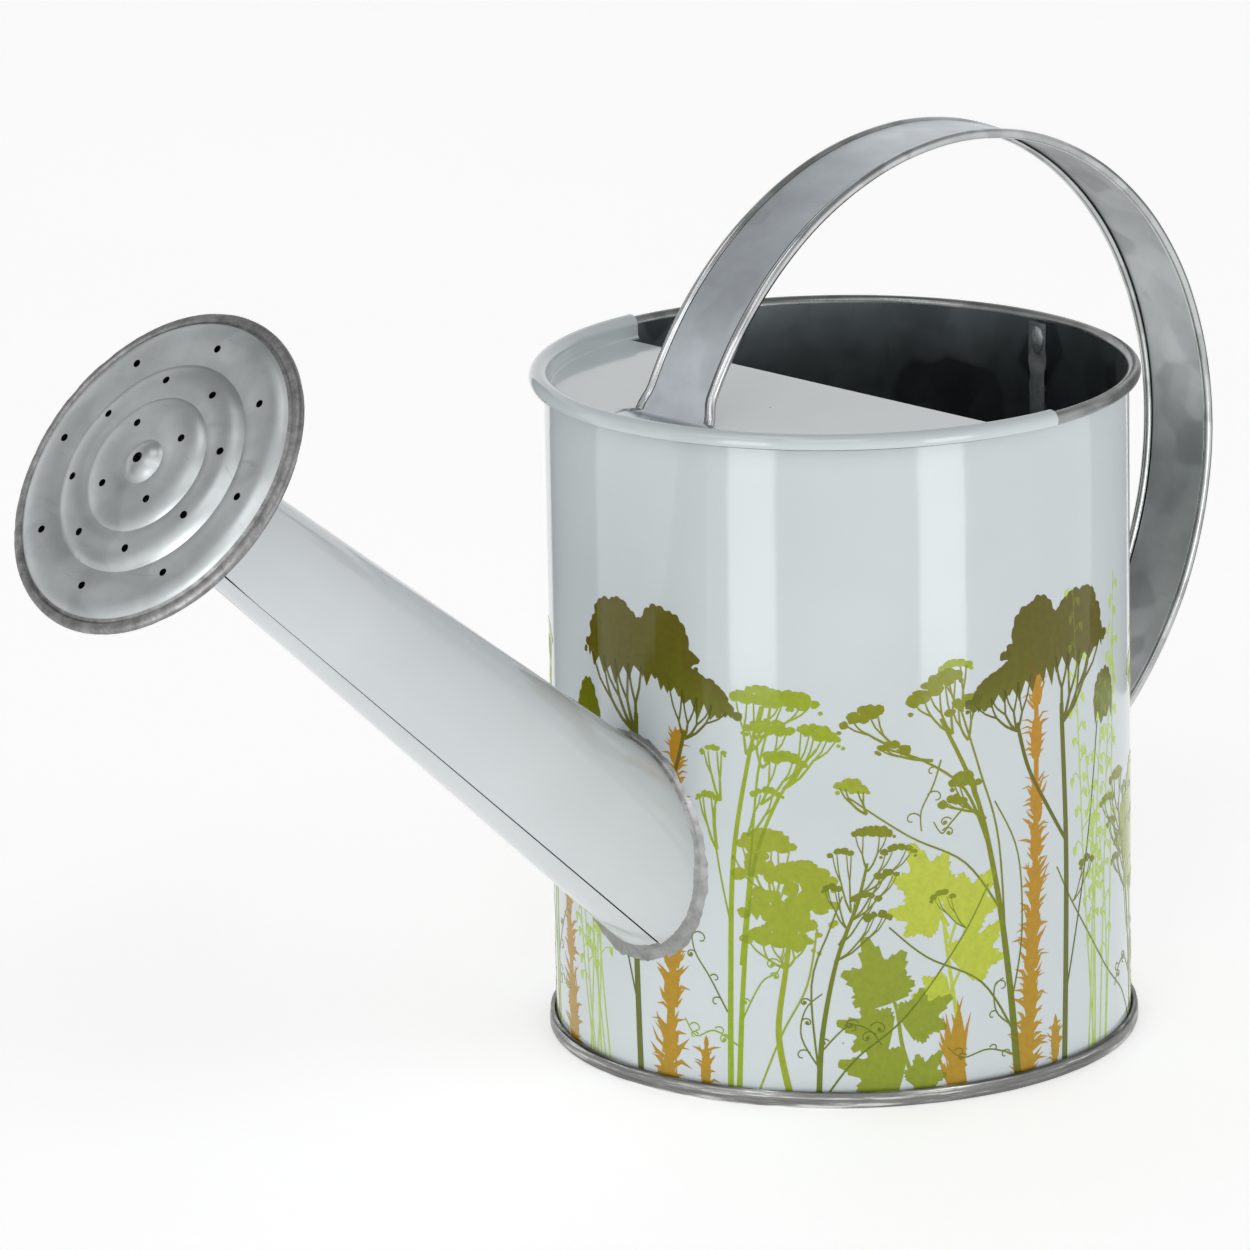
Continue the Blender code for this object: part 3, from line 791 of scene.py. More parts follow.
def make_rose_face(zinc, crimp, dark):
    """The face with its folded edge, knocked a little out of true, and its holes."""
    top = rose_profile()
    edge = [(38.4, 1.15), (39.2, 1.05), (39.8, 0.8), (40.2, 0.4), (40.3, -0.1), (40.3, -0.6), (40.1, -0.95)]
    edge += [(39.7, -1.15), (38.6, -1.2), (38.4, -1.0), (38.5, -0.75), (39.4, -0.7), (39.7, -0.4)]
    edge += [(39.7, 0.1), (39.3, 0.5), (38.4, 0.65)]
    edge = [(r * MM, z * MM) for r, z in edge]
    under = [(r, z - SHEET) for r, z in reversed(top)]
    outline = top + edge + under
    looks = [1 if len(top) - 4 <= k <= len(top) + len(edge) else 0 for k in range(len(outline))]
    shape = turned(outline, around(160), looks=looks)
    for vertex in shape.verts:
        radius = math.hypot(vertex.co.x, vertex.co.y)
        band = smoothstep(0.0378, 0.0392, radius)
        dent = abs(noise.noise(vertex.co * 260.0)) ** 1.5
        vertex.co.z -= 0.00042 * dent * band * (1 if vertex.co.z > 0 else -0.6)
        vertex.co.z += 0.00010 * noise.noise(vertex.co * 70.0)
    face = piece("rose_disc", shape, [zinc, crimp, dark], ROSE, sharp=40)
    holes = bmesh.new()
    for x, y, radius in rose_holes():
        bmesh.ops.create_cone(
            holes,
            cap_ends=True,
            segments=20,
            radius1=radius,
            radius2=radius,
            depth=0.008,
            matrix=Matrix.Translation((x, y, 0.005)),
        )
    # The holes' walls take look 2, the near-black shade: painted shade inside the holes
    cut(face, holes, ROSE, 2)
    place(face, "rose", "galvanised_steel", "rose_face")


def sleeve_inner(back):
    """The socket's inner radius at a distance behind the rose's face."""
    return spout_radius(ROSE_REACH - back) + 0.0003


def neck_inner():
    """The inner radius of the funnel's neck, just clear of the socket."""
    return sleeve_inner(NECK_END_BACK) + SHEET + 0.0003


def make_rose_funnel(zinc, dark):
    """The funnel from the crimp down to its neck."""
    inner = neck_inner()
    outer = inner + SHEET
    outside = [(0.0392, -0.0004), (0.0374, -0.0006), (0.030, -0.0048)]
    outside += [(outer + 0.004, -NECK_BACK + 0.0018), (outer, -NECK_BACK), (outer, -NECK_END_BACK)]
    outside = [outside[0], *smooth_outline(outside[1:], 5)]
    inside = [(r - (outer - inner), z + 0.0003) for r, z in reversed(outside[1:])]
    inside[0] = (inner, -NECK_END_BACK)
    outline = [(0.0392, 0.0), *outside, *inside, (0.0370, 0.0)]
    # The inner faces take the darker crimp zinc, passed in as dark: painted shade inside the funnel
    looks = [0 if k <= len(outside) else 1 for k in range(len(outline))]
    shape = turned(outline, around(128), looks=looks)
    place(piece("rose_funnel", shape, [zinc, dark], ROSE), "rose", "galvanised_steel", "rose_back")


def make_rose_socket(zinc):
    """The socket that pushes over the spout's tip, slightly flared at its end."""
    socket = []
    for back in spread(SOCKET_TOP_BACK, SOCKET_END_BACK, 6):
        flare = 0.0002 * smoothstep(SOCKET_END_BACK - 0.002, SOCKET_END_BACK, back)
        socket.append((sleeve_inner(back) + SHEET + flare, -back))
    socket += [(r - SHEET, z) for r, z in reversed(socket)]
    shape = turned(socket, around(128))
    place(piece("rose_socket", shape, [zinc], ROSE), "rose", "galvanised_steel", "rose_sleeve")


def make_rose_fillet(solder):
    """The uneven solder ring between the neck's end and the socket."""
    inner = neck_inner()
    high, low = -NECK_END_BACK, -NECK_END_BACK - 0.0019
    rings = []
    for degrees in around(144):
        seed = Vector(polar(1.0, degrees, 2.0))
        drop = low - 0.0004 * noise.noise(seed * 6.0)
        side = sleeve_inner(-drop) + SHEET
        profile = [(inner + SHEET + 0.00005, high), (inner + SHEET * 0.8, high - 0.0005)]
        bulge = side + 0.0003 + 0.0001 * noise.noise(seed * 15.0)
        profile += [(bulge, drop + 0.0005), (side + 0.00004, drop)]
        profile += [(side - 0.0001, drop + 0.0003), (side - 0.0001, high + 0.0001)]
        rings.append([polar(r, degrees, z) for r, z in profile])
    made = piece("rose_fillet", lofted(rings, closed_ends=False), [solder], ROSE)
    place(made, "rose", "solder", "rose_solder")


# ---------------------------------------------------------------------------- the handle


def hoop(angle):
    """A point (y, z) on the hoop and the outward direction there."""
    short = Vector((-math.sin(HOOP_LEAN), math.cos(HOOP_LEAN)))
    long = Vector((-math.cos(HOOP_LEAN), -math.sin(HOOP_LEAN)))
    point = Vector((HOOP_CENTRE_Y, HOOP_CENTRE_Z)) + HOOP_SHORT * math.cos(angle) * short
    point += HOOP_LONG * math.sin(angle) * long
    outward = math.cos(angle) / HOOP_SHORT * short + math.sin(angle) / HOOP_LONG * long
    return point, outward.normalized()


def bend_start(first, last, distance, toward):
    """The hoop angle at which an arc of FOOT_BEND_RADIUS brings the strap down flat on its foot.
    distance(point) is the way left to the foot's plane, and toward is the foot's direction."""
    for _ in range(50):
        angle = (first + last) / 2
        point, outward = hoop(angle)
        along = Vector((outward.y, -outward.x))
        along = along if along.dot(toward) > 0 else -along
        left = distance(point) - FOOT_BEND_RADIUS * (1 - along.dot(toward))
        if left > 0:
            first = angle
        else:
            last = angle
    return angle


def bend(point, outward, toward, steps):
    """The arc from the hoop to the foot, as (point, outward) pairs."""
    along = Vector((outward.y, -outward.x))
    along = along if along.dot(toward) > 0 else -along
    centre = point + outward * FOOT_BEND_RADIUS
    total = math.acos(max(-1.0, min(1.0, along.dot(toward))))
    sign = 1.0 if outward.x * along.y - outward.y * along.x < 0 else -1.0
    made = []
    for i in range(1, steps + 1):
        turn = Matrix.Rotation(sign * total * i / steps, 2)
        normal = turn @ outward
        made.append((centre - normal * FOOT_BEND_RADIUS, normal))
    return made


def strap_path():
    """Stations down the strap as (point, outward, flatness, wrap), from the lid's foot to the wall's."""
    lid_plane = LID_PANEL_TOP + LID_FOOT_GAP
    wall_plane = WALL_RADIUS + WALL_FOOT_GAP
    forward, down = Vector((-1.0, 0.0)), Vector((0.0, -1.0))
    top = 0.0
    front = bend_start(top, math.radians(75.0), lambda p: p.y - lid_plane, forward)
    rear = bend_start(math.radians(-90.0), math.radians(-185.0), lambda p: p.x - wall_plane, down)
    stations = []
    point, outward = hoop(front)
    front_bend = bend(point, outward, forward, 8)
    end, normal = front_bend[-1]
    for y in spread(-FRONT_FOOT_REACH, end.x, 6)[:-1]:
        stations.append((Vector((y, end.y)), normal, 1.0, 0.0))
    for i, (spot, normal) in enumerate(reversed(front_bend)):
        stations.append((spot, normal, 1.0 - (1.0 - HOOP_END_FLAT) * i / len(front_bend), 0.0))
    steps = 230
    fade = 0.006
    arc_length = (HOOP_SHORT + HOOP_LONG) / 2
    for i in range(steps + 1):
        angle = front + (rear - front) * i / steps
        point, outward = hoop(angle)
        from_front = abs(angle - front) * arc_length
        from_rear = abs(angle - rear) * arc_length
        flat = HOOP_END_FLAT * (1 - smoothstep(0.0, fade, min(from_front, from_rear)))
        stations.append((point, outward, flat, 1 - smoothstep(0.0, fade, from_rear)))
    point, outward = hoop(rear)
    rear_bend = bend(point, outward, down, 8)
    for i, (spot, normal) in enumerate(rear_bend):
        flat = HOOP_END_FLAT + (1.0 - HOOP_END_FLAT) * (i + 1) / len(rear_bend)
        stations.append((spot, normal, flat, 1.0))
    end, normal = rear_bend[-1]
    for z in spread(end.y, REAR_FOOT_BOTTOM, 8)[1:]:
        stations.append((Vector((end.x, z)), normal, 1.0, 1.0))
    return stations


def strap_section(flat):
    """The strap's section as (across, outwards) points, its rolled edges pressed flat by flat."""
    roll_x = STRAP_HALF_WIDTH - EDGE_ROLL_RADIUS
    web_top = WEB_RAISE + SHEET / 2
    web_low = WEB_RAISE - SHEET / 2
    core = EDGE_ROLL_RADIUS - SHEET
    top_angle = 180 - math.degrees(math.asin(web_top / EDGE_ROLL_RADIUS))
    low_angle = 180 - math.degrees(math.asin(web_low / core))
    roll = arc((0.0, 0.0), EDGE_ROLL_RADIUS, top_angle, -168, 22)
    roll += arc((0.0, 0.0), core, -168, low_angle, 14)
    pressed = 1.0 - 0.62 * flat
    wider = 1.0 + 0.55 * flat
    shifted = roll_x + flat * (FOOT_HALF_WIDTH - STRAP_HALF_WIDTH - 0.55 * EDGE_ROLL_RADIUS)
    right = [(shifted + x * wider, WEB_RAISE + (z - WEB_RAISE) * pressed) for x, z in roll]
    edge = shifted - EDGE_ROLL_RADIUS
    web = [-edge, *spread(CREASE_WIDTH - edge, edge - CREASE_WIDTH, 9), edge]
    sags = [WEB_SAG * math.cos(x / shifted * math.pi / 2) * (1 - flat) for x in web]
    under = [(x, web_low - sag) for x, sag in reversed(list(zip(web, sags)))]
    over = [(x, web_top - sag) for x, sag in zip(web, sags)]
    left = [(-x, z) for x, z in reversed(right)]
    looks = [3] * len(right) + [0] * len(web)
    # Look 2, given to the faces beside each roll, is a near-black zinc: painted shade in the creases
    looks[len(right)] = looks[-2] = 2
    return right + under + left + over, looks + looks


def make_strap(outer_look, inner_look, crease_shade_look, roll_look):
    """The strap in one sheet from foot to foot."""
    rings = []
    for point, outward, flat, wrap in strap_path():
        ring = []
        section, looks = strap_section(flat)
        for x, out in section:
            spot = point + outward * (out - WEB_RAISE * flat)
            y = spot.x - wrap * (WALL_RADIUS - math.sqrt(WALL_RADIUS**2 - x * x))
            ring.append((x, y, spot.y))
        rings.append(ring)
    shape = lofted(rings)
    shape.faces.ensure_lookup_table()
    centre = Vector((0, HOOP_CENTRE_Y, HOOP_CENTRE_Z))
    bmesh.ops.recalc_face_normals(shape, faces=shape.faces)
    for i, face in enumerate(shape.faces):
        if len(face.verts) == 4 and looks[i % len(section)]:
            face.material_index = looks[i % len(section)]
            continue
        middle = face.calc_center_median()
        outwards = Vector((0, middle.y, middle.z)) - centre
        if face.normal.dot(outwards) < 0 and abs(middle.x) < STRAP_HALF_WIDTH - 2 * EDGE_ROLL_RADIUS:
            face.material_index = 1
    for vertex in shape.verts:
        if abs(vertex.co.x) < STRAP_HALF_WIDTH:
            ripple = rough_shift(vertex.co, 55.0, 0.00012)
            vertex.co += (vertex.co - centre).normalized() * ripple
    made = piece("carry_strap", shape, [outer_look, inner_look, crease_shade_look, roll_look], CAN, sharp=50)
    place(made, "can", "galvanised_steel", "handle_strap")


# ---------------------------------------------------------------------------- the print

# Millimetres on the flat print: its foot and top, the length of one repeat, the width of the bands
# that it is cut into, the smallest shape's area (square) and the largest half width of a loose head
PRINT_FOOT = 3.0
PRINT_TOP = 135.0
REPEAT = math.pi * WALL_RADIUS / MM
BAND_WIDTH = 4.0
SMALLEST_SHAPE = 0.0004
LARGEST_CLUSTER = 9.0
# Where the film lies: metres proud of the wall and sunk into it, and where the print's place 0 faces
FILM_PROUD = 0.00006
FILM_SUNK = 0.00010
FRONT = math.radians(-44.7)
# What the studio makes of an ink: its gloss adds a little light to every colour, and shade takes some away
PRINT_GLOSS = 0.030
PRINT_LIGHT = 0.84


def ink(red, green, blue):
    """The ink that looks like this colour, given as 0 to 255 values, under the studio's light."""
    seen = [((c / 255 + 0.055) / 1.055) ** 2.4 for c in (red, green, blue)]
    return tuple(max((c - PRINT_GLOSS) / PRINT_LIGHT, 0.003) for c in seen)


# Each ink as (colour low down, colour high up, height low, height high)
INKS = {
    "olive": (ink(114, 120, 52), ink(103, 98, 33), 90.0, 106.0),
    "olive_stem": (ink(104, 112, 60), ink(108, 110, 44), 20.0, 95.0),
    "moss": (ink(112, 122, 54), ink(134, 138, 52), 10.0, 95.0),
    "green": (ink(148, 162, 60), ink(154, 164, 64), 10.0, 70.0),
    "lime": (ink(144, 166, 52), ink(150, 166, 58), 10.0, 100.0),
    "bright": (ink(176, 188, 74), ink(180, 190, 80), 10.0, 60.0),
    "leaf": (ink(138, 150, 60), ink(142, 153, 64), 5.0, 42.0),
    "pale": (ink(172, 196, 92), ink(186, 208, 108), 10.0, 120.0),
    "orange": (ink(172, 138, 56), ink(180, 136, 58), 5.0, 90.0),
}


class Meadow:
    """Flat printed shapes, each one outline of (round, up) points in millimetres in one ink."""

    def __init__(self):
        self.outlines = []
        self.inks = []
        self.start(0.0, 1, 0)

    def start(self, about, mirror, seed):
        """From here on, shapes are drawn about this place round the wall, with random draws of their own."""
        self.about = about
        self.mirror = mirror
        self.chance = random.Random(seed)

    def shape(self, outline, colour):
        """Keeps an outline, turned anticlockwise. One too small to print is left out."""
        points = [(self.about + self.mirror * x, z) for x, z in outline]
        ahead = points[1:] + points[:1]
        area = sum(a * d - b * c for (a, b), (c, d) in zip(points, ahead)) / 2
        if abs(area) < SMALLEST_SHAPE:
            return
        self.outlines.append(points if area > 0 else points[::-1])
        self.inks.append(colour)

    def ribbon(self, points, first, last, colour, smooth=4):
        """A stem: a line of changing width along a smooth curve, drawn as a strip of triangles."""
        line = smooth_outline(points, smooth)
        sides = []
        for i, point in enumerate(line):
            before, after = Vector(line[max(i - 1, 0)]), Vector(line[min(i + 1, len(line) - 1)])
            along = (after - before).normalized()
            half = (first + (last - first) * i / (len(line) - 1)) / 2
            off = Vector((-along.y, along.x)) * half
            sides.append((Vector(point) + off, Vector(point) - off))
        for (a, b), (c, d) in zip(sides, sides[1:]):
            self.shape([tuple(a), tuple(b), tuple(d)], colour)
            self.shape([tuple(a), tuple(d), tuple(c)], colour)

    def stems(self, colour, *rows):
        """Several stems in one ink. Each row is (points, first width, last width, smoothing)."""
        for points, first, last, smooth in rows:
            self.ribbon(points, first, last, colour, smooth)

    def blob(self, x, z, wide, high, colour, points=13, rough=0.22):
        """A lump of florets with a ragged edge."""
        outline = []
        for i in range(points):
            turn = 2 * math.pi * i / points
            reach = 1.0 + self.chance.uniform(-rough, rough)
            outline.append((x + wide * reach * math.cos(turn), z + high * reach * math.sin(turn)))
        self.shape(outline, colour)

    def dome(self, x, z, half, rise, colour, lump=1.7, tilt=0.0):
        """A large head in one outline: bluntly scalloped above, wedges of rays below."""
        chance = self.chance
        edge = []
        scallops = max(4, int(3.0 * half / lump))
        lobes = chance.uniform(1.3, 1.9) * max(1.0, half / 5.0)
        phase = chance.uniform(0.0, math.pi)
        for i in range(scallops):
            tall = chance.uniform(0.5, 1.2) * lump / half * 0.24
            for k in range(4):
                turn = math.pi * (i + k / 4) / scallops
                swell = 0.13 * (abs(math.sin(lobes * turn + phase)) ** 0.6 - 0.8)
                reach = 1.0 + swell + tall * (math.sin(math.pi * k / 4) - 0.3) + chance.uniform(-0.01, 0.01)
                edge.append((half * reach * math.cos(turn), 0.72 * rise * reach * math.sin(turn)))
        teeth = max(4, int(1.5 * half / lump))
        for i in range(1, 2 * teeth):
            turn = math.pi * (1 + (i + chance.uniform(-0.25, 0.25)) / (2 * teeth))
            deep = chance.uniform(0.5, 1.25) if i % 2 else chance.uniform(0.1, 0.5)
            low = rise * deep * (0.14 + 0.46 * abs(math.sin(turn)))
            edge.append((half * 0.96 * math.cos(turn), -low))
        base = z + 0.28 * rise
        self.shape([(x + px, base + pz + tilt * px) for px, pz in edge], colour)

    def cluster(self, x, z, half, rise, colour, lump=1.3, tilt=0.0):
        """A small, loose head: round lumps side by side on a low arc, with a few florets apart."""
        chance = self.chance
        count = max(3, int(1.9 * half / lump))
        for i in range(count):
            t = -1 + 2 * (i + chance.uniform(-0.25, 0.25)) / (count - 1)
            spot = (x + 0.9 * half * t, z + rise * (0.25 + 0.5 * (1 - t * t)) + tilt * half * t)
            wide = lump * chance.uniform(0.75, 1.15)
            self.blob(*spot, wide, wide * chance.uniform(0.65, 0.95), colour, 9, 0.18)
        if rise > 2.5:
            for t in (-0.45, 0.05, 0.5):
                spot = (x + t * half, z + rise * chance.uniform(0.15, 0.45) + tilt * half * t)
                self.blob(*spot, 0.34 * half, 0.36 * rise, colour, 9, 0.2)
        for _ in range(2):
            side = chance.choice((-1, 1))
            spot = (x + side * half * chance.uniform(0.9, 1.2), z + rise * chance.uniform(-0.4, 0.3))
            spot = (spot[0], spot[1] + tilt * (spot[0] - x))
            self.blob(*spot, lump * 0.4, lump * 0.36, colour, 7, 0.12)

    def umbel(self, foot, head, half, rise, colour, stem=None, rays=6, lump=1.5, tilt=0.0, thick=0.7):
        """Branches that fork twice on their way up into a head."""
        stem = stem or colour
        branches = max(2, rays // 2)
        for i in range(branches):
            t = -0.62 + 1.24 * i / (branches - 1)
            fork = (
                foot[0] + (head[0] + half * t - foot[0]) * 0.62,
                foot[1] + (head[1] - foot[1]) * self.chance.uniform(0.42, 0.58),
            )
            middle = (foot[0] * 0.45 + fork[0] * 0.55, foot[1] * 0.6 + fork[1] * 0.4)
            self.ribbon([foot, middle, fork], thick, thick * 0.75, stem, 2)
            for side in (-1, 1):
                across = t + side * 0.20
                end = (head[0] + half * across, head[1] + 0.2 * rise + tilt * across * half)
                knee = (fork[0] + (end[0] - fork[0]) * 0.6, fork[1] + (end[1] - fork[1]) * 0.42)
                self.ribbon([fork, knee, end], thick * 0.7, thick * 0.5, stem, 2)
        draw = self.dome if half > LARGEST_CLUSTER else self.cluster
        draw(*head, half, rise, colour, lump, tilt)

    def umbels(self, colour, *rows):
        """Several umbels in one ink. Each row is (foot, head, half width, rise, rays, lump, tilt)."""
        for foot, head, half, rise, rays, lump, tilt in rows:
            self.umbel(foot, head, half, rise, colour, rays=rays, lump=lump, tilt=tilt)

    def petal(self, x, z, turn, length, width, curl, colour):
        """A pointed, curved petal from its root."""
        left, right = [], []
        for i in range(4):
            t = i / 3
            heading = turn + curl * t
            px = x + length * t * math.cos(heading)
            pz = z + length * t * math.sin(heading)
            half = width / 2 * math.sin(math.pi * min(0.35 + 0.65 * t, 1.0)) if i < 3 else 0.02
            left.append((px - half * math.sin(heading), pz + half * math.cos(heading)))
            right.append((px + half * math.sin(heading), pz - half * math.cos(heading)))
        self.shape(right + left[::-1], colour)

    def spike(self, x, z, turn, length, width, curl, colour):
        """A thin curved thorn from its root, in five points."""
        middle = turn + curl / 2
        mx, mz = x + length * 0.5 * math.cos(turn), z + length * 0.5 * math.sin(turn)
        tip = (mx + length * 0.5 * math.cos(turn + curl), mz + length * 0.5 * math.sin(turn + curl))
        off = (-math.sin(middle) * width / 2, math.cos(middle) * width / 2)
        left = [(mx + off[0] * 0.8, mz + off[1] * 0.8), (x + off[0], z + off[1])]
        right = [(x - off[0], z - off[1]), (mx - off[0] * 0.8, mz - off[1] * 0.8)]
        self.shape([*right, tip, *left], colour)

    def spire(self, line, width, colour, step=9.0, thorns=14):
        """A flower spike: whorls on a thin stem, each a long lump with a fringe of curved thorns."""
        chance = self.chance
        self.ribbon(line, width * 0.34, width * 0.16, colour)
        curve = smooth_outline(line, 12)
        length = sum(math.dist(a, b) for a, b in zip(curve, curve[1:]))
        count = max(1, int(length / step))
        for i in range(count):
            share = (i + 0.5 + chance.uniform(-0.12, 0.12)) / count
            x, z = curve[min(int(share * len(curve)), len(curve) - 1)]
            size = width * (1.0 - 0.4 * share)
            self.blob(x, z, size * 0.33, step * 0.52, colour, 12, 0.2)
            for k in range(thorns):
                side = 1 if k % 2 else -1
                up = (k - (thorns - 1) / 2) / (thorns - 1) * step
                self.spike(
                    x + side * size * 0.16,
                    z + up,
                    math.radians(90 - side * chance.uniform(18, 66)),
                    size * chance.uniform(0.40, 0.95),
                    size * chance.uniform(0.10, 0.20),
                    -side * chance.uniform(-0.5, 1.0),
                    colour,
                )
        x, z = line[-1]
        self.petal(x, z - 1, math.radians(90), width * 0.5, width * 0.25, 0.0, colour)

    def leaf(self, x, z, size, turn, colour):
        """A broad leaf of five pointed, toothed lobes, its stalk end at (x, z)."""
        lobes = ((-104, 0.52), (-50, 0.68), (0, 0.88), (50, 0.68), (104, 0.52))
        notch = 0.43
        steps = 5
        half_angle = 24.5
        back = 0.30 * size
        outline = [(-back, 0.0)]
        for heading, reach in lobes:
            for i in range(-steps, steps + 1):
                share = abs(i) / steps
                tooth = 1.0 if i == 0 else (1.07 if i % 2 else 0.94) + self.chance.uniform(-0.02, 0.02)
                radius = (notch + (reach - notch) * (1 - share) ** 0.85) * tooth * size
                face = math.radians(heading + half_angle * i / steps)
                outline.append((radius * math.cos(face), radius * math.sin(face)))
        c, d = math.cos(turn), math.sin(turn)
        outline = [(px + back, pz) for px, pz in outline]
        self.shape([(x + px * c - pz * d, z + px * d + pz * c) for px, pz in outline], colour)

    def tendril(self, points, colour, curls=3):
        """A thin stem that ends in a curl and carries small curled leaflets."""
        width = 0.42
        self.ribbon(points, width, width * 0.7, colour, 5)
        line = smooth_outline(points, 6)
        for i in range(curls):
            x, z = line[int((i + 0.7) / (curls + 0.4) * (len(line) - 1))]
            side = 1 if i % 2 else -1
            size = self.chance.uniform(1.2, 2.4)
            spiral = []
            for k in range(9):
                turn = 0.4 + 0.55 * k
                reach = size * (1 - k / 11)
                across = side * (size - reach * math.cos(turn))
                spiral.append((x + across, z + reach * math.sin(turn) * 0.9))
            self.ribbon(spiral, width * 0.8, width * 0.6, colour, 2)
            if self.chance.random() < 0.6:
                self.blob(x + side * size, z, 0.55, 0.5, colour, 7)

    def bells(self, line, colour, count):
        """A fine grass stem with seed heads on threads."""
        self.ribbon(line, 0.55, 0.3, colour)
        curve = smooth_outline(line, 10)
        for i in range(count):
            x, z = curve[int((0.45 + 0.55 * i / count) * (len(curve) - 1))]
            side = 1 if i % 2 else -1
            reach = self.chance.uniform(1.5, 4.2) * (1.1 - 0.5 * i / count)
            tip = (x + side * reach, z + self.chance.uniform(0.5, 3.0))
            self.ribbon([(x, z), (x + side * reach * 0.6, z + 2.2), tip], 0.3, 0.25, colour, 3)
            self.petal(tip[0], tip[1] + 0.2, math.radians(-90 + side * 12), 2.3, 1.5, 0.1, colour)


def yarrow(meadow):
    """A tall yarrow: one stem that forks, a high double head and a lower one to its side."""
    stem = "olive_stem"
    meadow.ribbon([(0.5, 3), (-0.2, 30), (-0.4, 58), (0.8, 86), (1.0, 92)], 1.9, 1.3, stem, 6)
    meadow.umbel((1.0, 87), (-6.0, 102), 11.0, 9.0, "olive", stem, rays=8, lump=2.2, thick=1.1)
    meadow.dome(-6.0, 105.5, 9.6, 13.5, "olive", lump=2.3)
    meadow.dome(-1.5, 104.0, 8.0, 13.0, "olive", lump=2.1)
    meadow.dome(9.2, 102.0, 8.4, 17.5, "olive", lump=2.2)
    meadow.ribbon([(-0.3, 58), (5.0, 66), (12.0, 78), (15.5, 90)], 1.0, 1.0, stem, 6)
    meadow.umbel((15.5, 88), (19.0, 97), 9.5, 8.0, "olive", stem, rays=8, lump=1.8, tilt=-0.36)
    meadow.dome(12.5, 99.5, 8.0, 10.0, "olive", lump=2.0, tilt=-0.3)
    for x, z, half in (
        (-14.0, 104.5, 3.6),
        (-10.0, 109.0, 3.4),
        (-4.0, 110.0, 3.6),
        (4.5, 111.0, 3.4),
        (10.5, 112.0, 3.8),
        (16.0, 106.0, 3.2),
        (21.0, 99.5, 3.4),
        (26.0, 95.0, 3.0),
    ):
        meadow.cluster(x, z, half, 4.2, "olive", lump=1.5)
    meadow.ribbon([(-0.2, 20), (-6.0, 42), (-10.5, 62), (-14.0, 84)], 0.5, 0.4, stem, 5)
    meadow.dome(-17.5, 84.0, 5.0, 12.5, "olive", lump=1.7)


def airy_umbels(meadow):
    """Two light stems side by side with loose heads."""
    meadow.stems(
        "lime",
        ([(0, 3), (0.4, 30), (1.5, 60), (5.5, 84), (9.0, 98)], 1.5, 0.8, 6),
        ([(2.2, 3), (3.6, 30), (6.5, 58), (13.0, 76), (22, 88)], 1.4, 0.5, 6),
        ([(3.0, 34), (6.0, 62), (8.0, 82), (11, 94)], 0.6, 0.5, 5),
    )
    meadow.umbels(
        "lime",
        ((5.2, 86), (8.5, 98.5), 7.0, 4.6, 6, 1.5, 0.0),
        ((7.4, 90), (16.0, 98.0), 6.0, 4.4, 5, 1.4, 0.0),
        ((9.0, 83), (10.5, 91.5), 5.6, 3.6, 5, 1.4, 0.0),
        ((14.0, 78), (22.5, 90.5), 5.0, 3.6, 6, 1.3, -0.25),
        ((8.5, 74), (14.5, 84.5), 4.4, 3.0, 5, 1.3, -0.15),
        ((5.0, 66), (10.0, 76.0), 3.4, 2.2, 4, 1.1, 0.0),
        ((-1.5, 74), (-3.4, 85.5), 2.8, 1.9, 4, 1.0, 0.0),
    )
    meadow.ribbon([(0.6, 44), (-2.2, 58), (-3.5, 70), (-1.5, 76)], 0.45, 0.4, "lime", 5)
    meadow.umbel((-2.6, 62), (-5.0, 74.0), 2.6, 1.8, "lime", rays=3, lump=1.0)
    meadow.tendril([(-0.5, 22), (-5.0, 30), (-9.0, 36), (-10.0, 42)], "moss", 4)
    meadow.tendril([(2.0, 14), (-4.0, 17), (-9.0, 15), (-12.0, 19)], "lime", 4)
    meadow.tendril([(3.0, 20), (8.0, 30), (12.0, 33), (14.0, 38)], "lime", 3)


def green_umbels(meadow):
    """A stout plant with three stacked heads."""
    meadow.ribbon([(2.5, 3), (0.0, 18), (2.0, 34), (3.5, 46)], 1.7, 1.0, "green", 6)
    meadow.ribbon([(-5.0, 3), (1.0, 18), (7.0, 30), (9.5, 44)], 0.5, 0.5, "green", 5)
    meadow.umbel((-1.0, 50), (-2.5, 62.0), 7.0, 7.0, "green", lump=1.5)
    meadow.umbel((0.5, 46), (5.5, 54.0), 8.0, 8.0, "green", lump=1.6)
    meadow.cluster(-4.0, 56.0, 5.0, 7.5, "green", lump=2.0)
    meadow.cluster(7.0, 48.0, 6.5, 9.5, "green", lump=2.2)
    meadow.cluster(-3.0, 46.0, 5.0, 8.5, "green", lump=2.0)
    meadow.cluster(3.5, 43.0, 5.5, 7.0, "green", lump=2.0)
    meadow.umbel((2.0, 34), (0.0, 39.0), 8.5, 6.5, "green", lump=1.5)
    meadow.ribbon([(3.0, 40), (-1.0, 50), (-7.5, 56), (-10.0, 60)], 0.5, 0.4, "green", 5)


